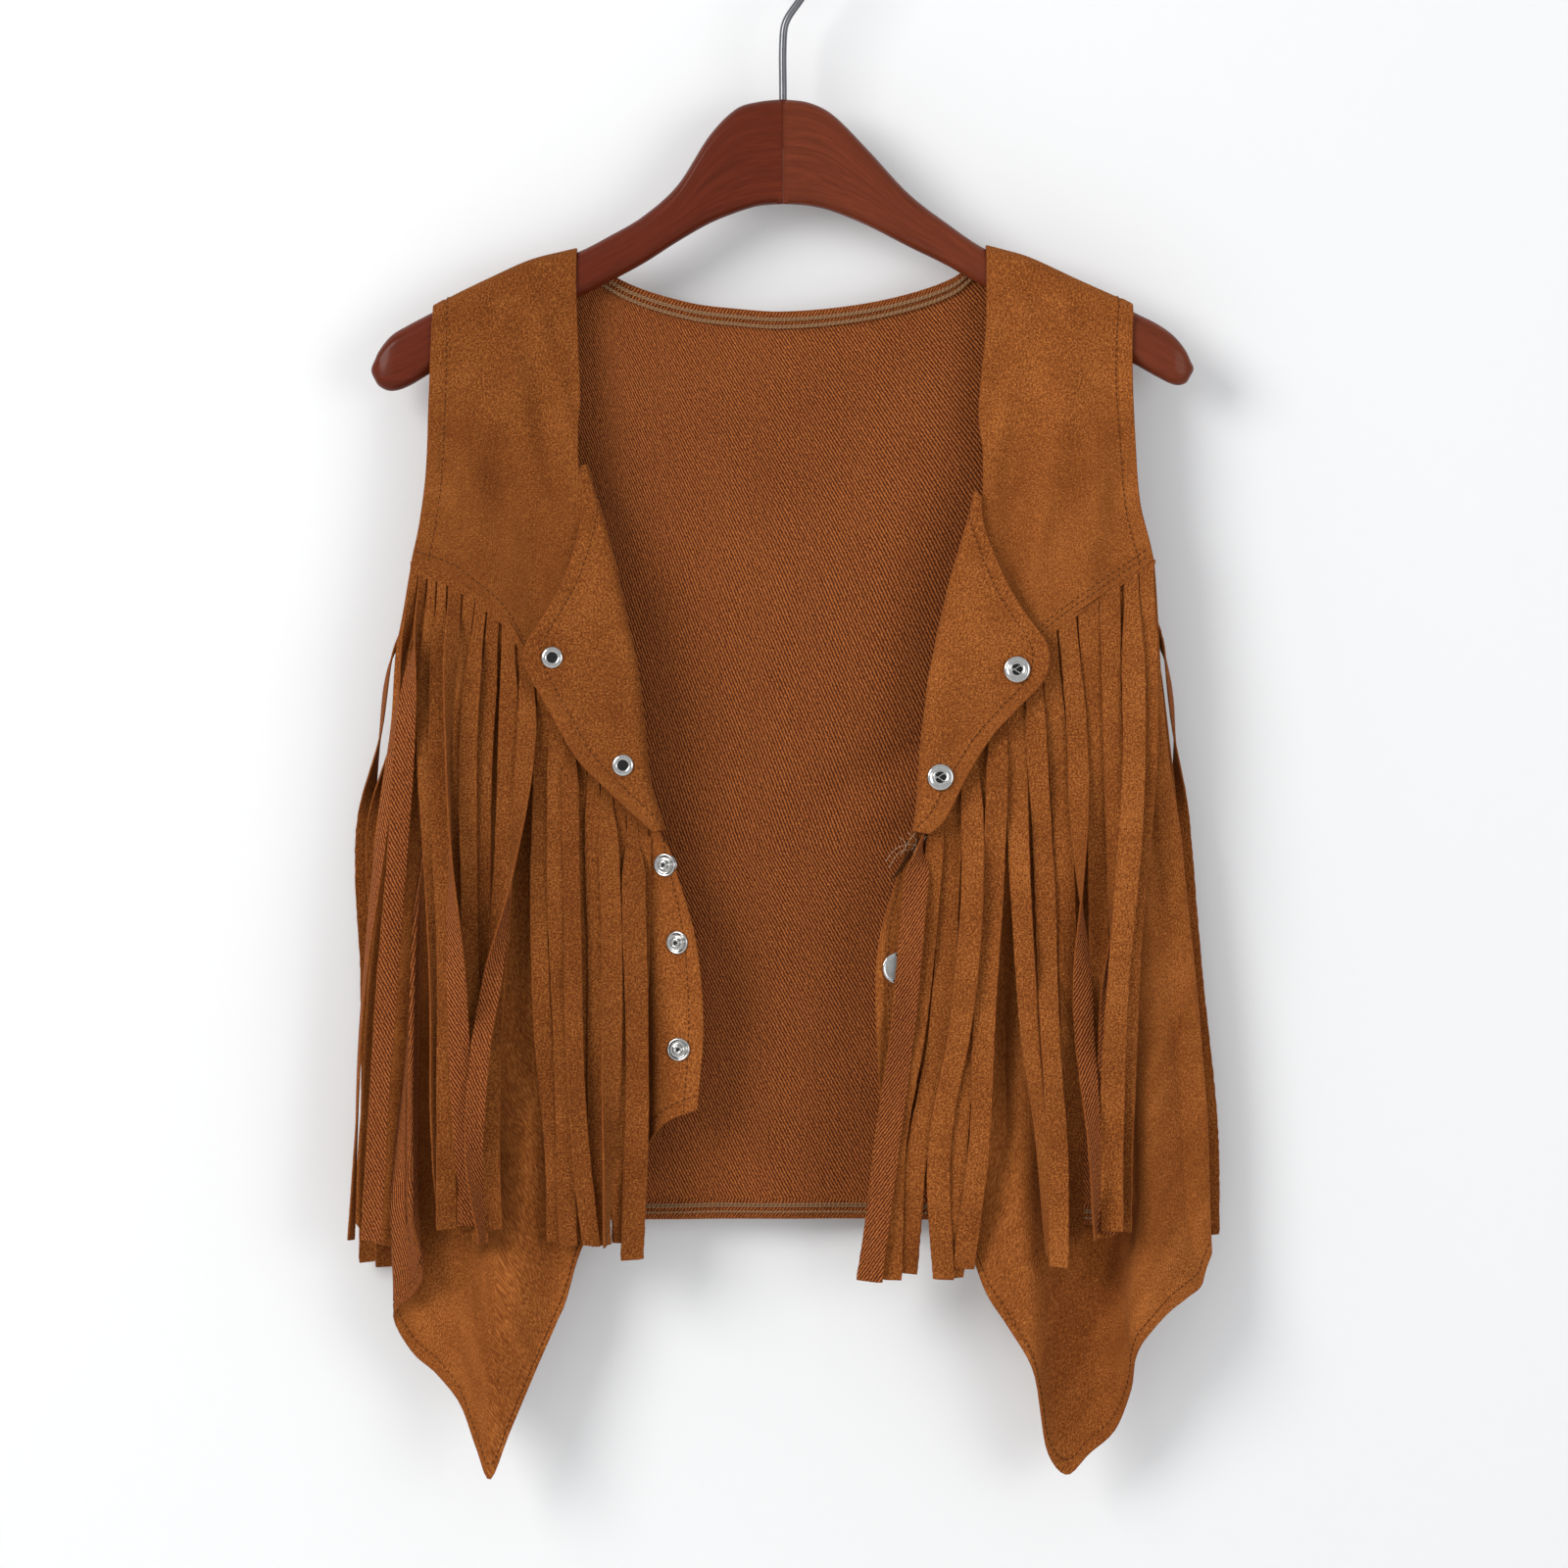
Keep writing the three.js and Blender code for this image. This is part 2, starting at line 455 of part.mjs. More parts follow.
function backEdge(side, down) {
  const underarm = side.sideSeam[0].down;
  if (down >= underarm) return { out: along(side.sideSeam, "down", "out", down), behind: seamHalf };
  const loose = ease((down - 200) / (underarm - 200));
  const out = along(backArmhole[side.sign], "down", "out", down);
  return { out, behind: mix(shoulderBend, seamHalf, loose) };
}

function backPoint(across, hang) {
  const topX = mix(backTop[0].x, backTop.at(-1).x, across);
  const topDown = along(backTop, "x", "down", topX);
  const hemX = mix(backHem[0].x, backHem.at(-1).x, across);
  const down = mix(topDown, along(backHem, "x", "down", hemX), hang);
  const x = mix(-backEdge(sides.left, down).out, backEdge(sides.right, down).out, across);
  const lowered = 1.6 * (1 - hang);
  return new THREE.Vector3(x, backBehind(x, down + lowered), -(down + lowered));
}

function backGrid(columns) {
  const hangs = [0, 0.008, 0.02, 0.06, 0.13, 0.22, 0.32, 0.42, 0.52, 0.6, 0.7, 0.8, 0.9, 1];
  const crowded = (t) => 1 - 0.22 * Math.sin(Math.PI * t) ** 2;
  const acrosses = steps(columns, (t) => 0.5 - 0.5 * Math.cos(Math.PI * t) * crowded(t));
  return hangs.map((hang) => acrosses.map((across) => backPoint(across, hang)));
}

// How far forward the lower front and its snaps stand under a strip, from a dense net of points.
function frontRelief(side) {
  const net = steps(60, (hang) => steps(90, (across) => lowerFrontPoint(side, across, hang))).flat();
  const near = (out, down) => net.find((point) => Math.hypot(point.out - out, point.down - down) < 6);
  const standing = (out, down) => near(out, down).fore + snapStand;
  const snaps = side.snapsOnFront.flatMap(({ out, down }) =>
    [-5, 0, 5].flatMap((off) => [
      { out: out + off, down, fore: standing(out, down) },
      { out, down: down + off, fore: standing(out, down) },
    ]),
  );
  return (out, down, halfWidth) =>
    [...net, ...snaps].reduce((most, point) => {
      const under = Math.abs(point.out - out) < halfWidth + 1.5 && Math.abs(point.down - down) < 10;
      return under ? Math.max(most, point.fore) : most;
    }, -Infinity);
}

const stripSegments = 9;

// Half of a strip's reach across and through, for its turn about its own length.
function stripReach({ turn, width }) {
  const angle = (turn * Math.PI) / 180;
  const flat = Math.abs(Math.cos(angle));
  const edgeOn = Math.abs(Math.sin(angle));
  return {
    half: (width * flat + stripThickness * edgeOn) / 2,
    deep: (width * edgeOn + stripThickness * flat) / 2,
  };
}

// Front of the strips already laid, where they lie under a strip of a given reach.
function laidFront(laid, out, down, half) {
  return laid.reduce((most, rings) => {
    const next = rings.findIndex((ring) => ring.down >= down);
    if (next < 1) return most;
    const [above, below] = [rings[next - 1], rings[next]];
    const part = (down - above.down) / (below.down - above.down);
    const read = (key) => mix(above[key], below[key], part);
    const reach = stripReach({ turn: read("turn"), width: read("width") });
    const apart = Math.abs(read("out") - out) > half + reach.half + stripGap;
    return apart ? most : Math.max(most, read("fore") + reach.deep);
  }, -Infinity);
}

// Rings of a strip from its root in the band to its cut end: a centre, a width and a turn.
function stripRings(side, strip, grip, relief, laid) {
  const seamAt = (out) => along(side.yokeEdge, "out", "down", out);
  const rootDown = seamAt(strip.root) + gap;
  const seamSlope = (seamAt(strip.root + 1) - seamAt(strip.root - 1)) / 2;
  const rootFore = yokeEdgeFore(side, strip.root) - cloth / 2;
  const stations = [
    { down: rootDown, out: strip.root, turn: 0 },
    { down: 400, out: strip.at400, turn: strip.turn400 },
    { down: 470, out: strip.at470, turn: mix(strip.turn400, strip.turn540, 0.4) },
    { down: 540, out: strip.at540, turn: strip.turn540 },
    { down: 600, out: strip.at600, turn: mix(strip.turn540, strip.turnEnd, 0.6) },
    { down: strip.end, out: strip.atEnd, turn: strip.turnEnd },
  ].filter((station, i) => i === 0 || station.down > rootDown + 28);
  const start = rootDown + headerDepth - 0.9;
  const rings = steps(stripSegments, (t) => {
    const down = mix(start, strip.end, t);
    return {
      t,
      down,
      out: t === 0 ? strip.root : along(stations, "down", "out", down),
      turn: t === 0 ? 0 : along(stations, "down", "turn", down),
      width: mix(grip, strip.width, ease((t - 0.1) / 0.15)),
      slant: seamSlope * (1 - ease(t / 0.12)),
    };
  });
  const segment = (strip.end - start) / stripSegments;
  const clear = rings.map((ring) => {
    const { half, deep } = stripReach(ring);
    const under = [-0.5, 0, 0.5].flatMap((share) => {
      const down = ring.down + share * segment;
      const out = down > start ? along(stations, "down", "out", down) : strip.root;
      return [laidFront(laid, out, down, half), relief(out, down, half) + 0.5];
    });
    const rest = Math.max(...under) + stripGap + deep;
    return Math.max(rest, rootFore + 0.5 * strip.layer);
  });
  rings.forEach((ring, i) => {
    const before = clear[Math.max(0, i - 1)];
    const after = clear[Math.min(stripSegments, i + 1)];
    const settled = Math.max(clear[i], (before + after) / 2);
    ring.fore = i === 0 ? rootFore : mix(rootFore, settled, ease(ring.t / 0.11));
  });
  return rings;
}

// A strip's closed body: four corners a ring, joined down its length.
function stripSolid(side, rings) {
  const points = [];
  const faces = [];
  const quad = (a, b, c, d) => faces.push(a, b, c, a, c, d);
  rings.forEach((ring) => {
    const angle = (ring.turn * Math.PI) / 180;
    const widthLine = { out: Math.cos(angle), fore: Math.sin(angle) };
    const corner = (along, through) =>
      place(
        side,
        ring.out + widthLine.out * along - widthLine.fore * through,
        ring.fore + widthLine.fore * along + widthLine.out * through,
        ring.down + ring.slant * along,
      );
    const half = ring.width / 2;
    const deep = stripThickness / 2;
    points.push(corner(-half, -deep), corner(half, -deep), corner(half, deep), corner(-half, deep));
  });
  for (let ring = 0; ring < rings.length - 1; ring++) {
    for (let c = 0; c < 4; c++) {
      const next = (c + 1) % 4;
      quad(ring * 4 + c, ring * 4 + next, ring * 4 + 4 + next, ring * 4 + 4 + c);
    }
  }
  const end = (rings.length - 1) * 4;
  quad(3, 2, 1, 0);
  quad(end, end + 1, end + 2, end + 3);
  return toManifold(solidFrom(points, faces));
}

// The uncut band that the strips hang from, in line with the yoke's outer face.
function fringeBand(side) {
  const first = yokeFrontEdge(side, side.yokeEdge[0].down) + 0.8;
  const last = side.yokeEdge.at(-1).out + 0.6;
  const grid = [3 * gap, headerDepth].map((drop) =>
    steps(22, (t) => {
      const out = mix(first, last, t);
      const down = along(side.yokeEdge, "out", "down", out) + gap + drop;
      return place(side, out, yokeEdgeFore(side, out) - 0.02 * drop, down);
    }),
  );
  return toManifold(wall(grid, side.sign * cloth));
}

// The strips are laid from the innermost layer outwards, each on what it crosses.
function fringe(side) {
  const relief = frontRelief(side);
  const roots = side.strips.map((strip) => strip.root);
  const grips = roots.map((root, i) => {
    const before = i === 0 ? 10 : roots[i - 1] - root;
    const after = i === roots.length - 1 ? 8 : root - roots[i + 1];
    return Math.min(before, after) - 2.5 * gap;
  });
  const layerOf = (i) => side.strips[i].layer;
  const order = side.strips.map((strip, i) => i).sort((a, b) => layerOf(a) - layerOf(b));
  const laid = [];
  for (const i of order) laid.push(stripRings(side, side.strips[i], grips[i], relief, laid));
  return { band: fringeBand(side), bodies: laid.map((rings) => stripSolid(side, rings)) };
}

const foldedBandGap = 2.3; // from the yoke's inner face to the band's folded-in end
const foldedBandThickness = 1.6;

// The end of the fringe band that is folded in with the armhole hem, and its strips, which fall
// through the armhole and hang behind the side of the back.
function armholeFringe(side) {
  const seam = side.yokeEdge.at(-1);
  const foldedIn = yokeEdgeFore(side, seam.out) - cloth - gap;
  const seamAt = (out) => along(side.yokeEdge, "out", "down", out);
  const bandGrid = [-3, headerDepth - 3].map((drop) =>
    [170, 175, 180].map((out) => place(side, out, foldedIn - foldedBandGap, seamAt(out) + drop)),
  );
  const band = toManifold(wall(bandGrid, side.sign * foldedBandThickness));
  const rootFore = foldedIn - foldedBandGap - foldedBandThickness / 2;
  const strips = side.behind.map((strip, i) => {
    const edge = (down) => along(backArmhole[side.sign], "down", "out", down);
    const rootDown = seamAt(strip.root) + 1;
    const beside = 6 * i; // the second strip passes outside the first and behind it
    const behindBack = (out, down) => -(backBehind(side.sign * (out - 5 - beside), down) + 3 + 5 * i);
    const low = (down, out) => [down, out, behindBack(out, down), 12];
    const hang = table("down out fore turn",
      [rootDown, strip.root, rootFore, 0],
      [rootDown + 22, strip.root + 4, foldedIn - 5.5 - beside, 20],
      [rootDown + 46, edge(rootDown + 46) + 2.5 + beside, 0.5, 95],
      [400, edge(400) + 3 + beside, -11, 95],
      low(450, edge(450) + 1 + beside),
      low(520, mix(edge(440) + beside, strip.path, 0.5)),
      low(590, strip.path - 1),
      low(strip.end, strip.path));
    const rings = steps(stripSegments + 2, (t) => {
      const down = mix(rootDown, strip.end, t);
      const width = mix(3.2, strip.width, ease((t - 0.06) / 0.1));
      return {
        down,
        width,
        slant: 0,
        out: along(hang, "down", "out", down),
        fore: along(hang, "down", "fore", down),
        turn: along(hang, "down", "turn", down),
      };
    });
    return stripSolid(side, rings);
  });
  return { band, bodies: strips };
}

// Sections of the hanger's arm: upright stadium outlines.
function hangerArm(side) {
  const around = 12;
  const rows = side.wood.map((section, i) => (i === 0 ? { ...section, out: gap / 2 } : section));
  const points = [];
  const faces = [];
  rows.forEach((section) => {
    const height = section.bottom - section.top;
    const radius = Math.min(section.half, height / 2);
    for (let i = 0; i < around; i++) {
      const upper = i < around / 2;
      const angle = (Math.PI * (upper ? i : i - around / 2)) / (around / 2 - 1);
      const across = Math.cos(angle) * (upper ? radius : -radius);
      const rise = Math.sin(angle) * radius;
      const centre = upper ? section.top + radius : section.bottom - radius;
      points.push(place(side, section.out, across, centre + (upper ? -rise : rise)));
    }
  });
  const last = (rows.length - 1) * around;
  for (let row = 0; row < rows.length - 1; row++) {
    for (let i = 0; i < around; i++) {
      const next = (i + 1) % around;
      const a = row * around + i;
      const b = row * around + next;
      faces.push(a, b, b + around, a, b + around, a + around);
    }
  }
  for (let i = 1; i < around - 1; i++) {
    faces.push(0, i + 1, i);
    faces.push(last, last + i, last + i + 1);
  }
  const bore = new THREE.CylinderGeometry(rodRadius + gap, rodRadius + gap, 60, 16);
  bore.rotateX(Math.PI / 2);
  bore.translate(0, 0, -84);
  return fromManifold(toManifold(solidFrom(points, faces)).subtract(toManifold(bore)));
}

const shankFoot = -112;

function hangerHook() {
  const loop = hookInnerRadius + rodRadius;
  const centre = new THREE.Vector3(0, 0, rodRadius - loop);
  const onLoop = (degrees) => {
    const angle = (degrees * Math.PI) / 180;
    return new THREE.Vector3(loop * Math.cos(angle), 0, centre.z + loop * Math.sin(angle));
  };
  const route = new THREE.CatmullRomCurve3(
    [
      new THREE.Vector3(0, 0, shankFoot),
      new THREE.Vector3(0, 0, -85),
      new THREE.Vector3(0, 0, -60),
      new THREE.Vector3(1.5, 0, -50),
      new THREE.Vector3(9, 0, -38.5),
      ...[-35, 0, 35, 70, 90, 110, 145, 180, 205].map(onLoop),
    ],
    false,
    "centripetal",
  );
  const section = new THREE.Shape().absarc(0, 0, rodRadius, 0, 2 * Math.PI);
  return new THREE.ExtrudeGeometry(section, {
    steps: 36,
    extrudePath: route,
    curveSegments: 4,
    bevelEnabled: false,
  });
}

const turned = (profile) =>
  new THREE.LatheGeometry(profile.map(([radius, height]) => new THREE.Vector2(radius, height)), 10);
const snapShapes = {
  ring: () => turned([[2.5, 0], [5.2, 0], [5.2, 0.4], [4.4, 1.0], [3.0, 1.0], [2.5, 0.5], [2.5, 0]]),
  stud: () => turned([[0, 0], [5.7, 0], [5.7, 0.5], [4.5, 1.1], [2.2, 1.2], [2.4, 3.0], [0, 3.4]]),
  socket: () => turned([[0, 0], [6.5, 0], [6.5, 1.1], [5.8, 1.8], [3.0, 1.8], [2.6, 0.6], [0, 0.6]]),
  cap: () => turned([[0, 0], [4.8, 0], [7.5, 1.5], [7.2, 1.9], [4, 2.2], [0, 2.3]]),
};

// Seat of a snap: the nearest grid point to a place, and the face's normal there.
function seatOn(grid, side, out, down, facing) {
  const target = place(side, out, 0, down);
  let best = { away: Infinity };
  for (let i = 0; i < grid.length - 1; i++) {
    for (let j = 0; j < grid[0].length - 1; j++) {
      const a = grid[i][j];
      const across = grid[i][j + 1].clone().sub(a);
      const downwards = grid[i + 1][j].clone().sub(a);
      const normal = across.clone().cross(downwards).normalize().multiplyScalar(-side.sign);
      if (-normal.y * facing < 0.3) continue;
      const point = a.clone().addScaledVector(across, 0.5).addScaledVector(downwards, 0.5);
      const away = Math.hypot(point.x - target.x, point.z - target.z);
      if (away < best.away) best = { away, point, normal, across, downwards };
    }
  }
  const miss = target.clone().sub(best.point);
  const rise = -(miss.x * best.normal.x + miss.z * best.normal.z) / best.normal.y;
  best.point = new THREE.Vector3(target.x, best.point.y + rise, target.z);
  return best;
}

function addSnap(name, shape, seat, lift, flip) {
  const geometry = snapShapes[shape]();
  const normal = seat.normal.clone().multiplyScalar(flip ? -1 : 1);
  geometry.applyQuaternion(new THREE.Quaternion().setFromUnitVectors(new THREE.Vector3(0, 1, 0), normal));
  const at = seat.point.clone().addScaledVector(normal, lift);
  geometry.translate(at.x, at.y, at.z);
  addPiece(name, geometry, steel);
}

for (const [sideName, side] of Object.entries(sides)) {
  const turn = side.sign;
  addPiece("hanger_arm_" + sideName, hangerArm(side), wood);
  addPiece("front_yoke_" + sideName, wall(yokeGrid(side, 12, 11), turn * cloth), suede);
  const lapel = lapelGrid(side, side.lapel.length + 2);
  addPiece("lapel_" + sideName, wall(lapel, turn * facedCloth), suede);
  const lowerFront = lowerFrontGrid(side, side.ribs.length * 2, 10);
  addPiece("lower_front_" + sideName, wall(lowerFront, turn * cloth), suede);
  for (const [name, made] of [["fringe_", fringe(side)], ["fringe_armhole_", armholeFringe(side)]]) {
    const joined = made.bodies.reduce((whole, body) => whole.add(body), made.band);
    addPiece(name + sideName, fromManifold(joined), suede);
  }
  const outward = sideName === "left" ? "stud" : "cap";
  const inward = sideName === "left" ? "ring" : "socket";
  const snaps = [
    ...side.snapsOnLapel.map((at) => ({ at, grid: lapel, shows: inward, hides: outward, behind: facedCloth })),
    ...side.snapsOnFront.map((at) => ({
      at,
      grid: lowerFront,
      shows: outward,
      hides: inward,
      behind: cloth + gap,
    })),
  ];
  snaps.forEach((snap, i) => {
    const seat = seatOn(snap.grid, side, snap.at.out, snap.at.down, 1);
    const name = "snap_" + sideName + "_" + (i + 1) + "_";
    addSnap(name + snap.shows, snap.shows, seat, gap, false);
    addSnap(name + snap.hides, snap.hides, seat, snap.behind + gap, true);
  });
}
addPiece("back_panel", wall(backGrid(26), -cloth), suede);
addPiece("hanger_hook", hangerHook(), darkSteel);

export default vest;
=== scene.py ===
# %% [markdown]
# # A fringe vest on a wooden hanger
# The vest is cut from faux suede: a napped face, and a woven reverse that shows inside the back
# and wherever a strip of the fringe has turned over. Each piece of cloth is a thin shell made
# from a grid of points, because a grid follows the fall of the cloth, keeps its edges clean and
# gives texture coordinates for free. A cloth simulation would lose the exact places of the
# folds, so the main folds are shaped from short tables.

# %% Load the fixed frame
import math
import bpy
import numpy as np
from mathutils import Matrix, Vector


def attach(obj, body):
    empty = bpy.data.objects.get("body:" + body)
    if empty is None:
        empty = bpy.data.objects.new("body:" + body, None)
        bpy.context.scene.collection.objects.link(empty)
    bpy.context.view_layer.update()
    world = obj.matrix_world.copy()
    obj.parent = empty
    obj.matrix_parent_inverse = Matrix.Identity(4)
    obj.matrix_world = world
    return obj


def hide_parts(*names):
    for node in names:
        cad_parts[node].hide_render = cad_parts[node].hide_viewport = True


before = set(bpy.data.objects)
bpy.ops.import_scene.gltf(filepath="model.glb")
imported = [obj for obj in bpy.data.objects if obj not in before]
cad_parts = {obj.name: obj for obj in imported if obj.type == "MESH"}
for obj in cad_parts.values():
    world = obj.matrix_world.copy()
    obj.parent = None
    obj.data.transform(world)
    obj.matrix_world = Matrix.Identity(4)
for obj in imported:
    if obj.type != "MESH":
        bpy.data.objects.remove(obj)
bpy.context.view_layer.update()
print("frame:", len(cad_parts), "nodes")

# %% [markdown]
# ## Sizes and smooth tables
# Everything is drawn in millimetres and turned into metres when a mesh is made. "out" is the
# distance from the centre line, "down" the distance below the hook's inside top, and "fore" the
# distance in front of the hanger. A table has named columns, and `along` reads a smooth curve
# through its rows, so a few rows give a flowing edge.

# %% Sizes, tables and curves
MM = 0.001
cloth = 1.2
faced_cloth = 2.0
gap = 0.3
wood_half = 7
rod_radius = 1.9
hook_inner_radius = 17
shoulder_bend = wood_half + gap + cloth + 0.2
header_depths = {"left": 5.5, "right": 1.8}  # of the uncut band above the slits
strip_thickness = 1.0
seam_half = 0.8
roll_gap = 2.3
tuck = 4


def table(names, *rows):
    return dict(zip(names.split(), np.array(rows, float).T))


def mix(a, b, t):
    return a + (b - a) * t


def ease(t):
    s = np.clip(t, 0, 1)
    return s * s * (3 - 2 * s)


def curve(keys, values, at):
    """A smooth curve through values at keys, read at any place. A value may be a whole row."""
    keys, values = np.asarray(keys, float), np.asarray(values, float)
    at = np.clip(np.asarray(at, float), keys[0], keys[-1])
    tail = (1,) * (values.ndim - 1)
    slope = np.empty_like(values)
    slope[1:-1] = (values[2:] - values[:-2]) / (keys[2:] - keys[:-2]).reshape((-1,) + tail)
    slope[0] = (values[1] - values[0]) / (keys[1] - keys[0])
    slope[-1] = (values[-1] - values[-2]) / (keys[-1] - keys[-2])
    i = np.clip(np.searchsorted(keys, at, side="right") - 1, 0, len(keys) - 2)
    span = keys[i + 1] - keys[i]
    t = ((at - keys[i]) / span).reshape(at.shape + tail)
    span = span.reshape(at.shape + tail)
    t2, t3 = t * t, t * t * t
    start = (2 * t3 - 3 * t2 + 1) * values[i] + (t3 - 2 * t2 + t) * span * slope[i]
    return start + (3 * t2 - 2 * t3) * values[i + 1] + (t3 - t2) * span * slope[i + 1]


def along(rows, key, column, at):
    return curve(rows[key], rows[column], at)


def spaced(count, crowd=0.7):
    """Values from 0 to 1, closer together at both ends, where seams and hems need them."""
    t = np.linspace(0, 1, count)
    return t - crowd * np.sin(2 * np.pi * t) / (2 * np.pi)


# %% [markdown]
# ## The pattern tables
# These are the driving shapes of the two fronts and the back as they hang. They are kept apart
# for the two sides, because cloth on a hanger never hangs the same twice.

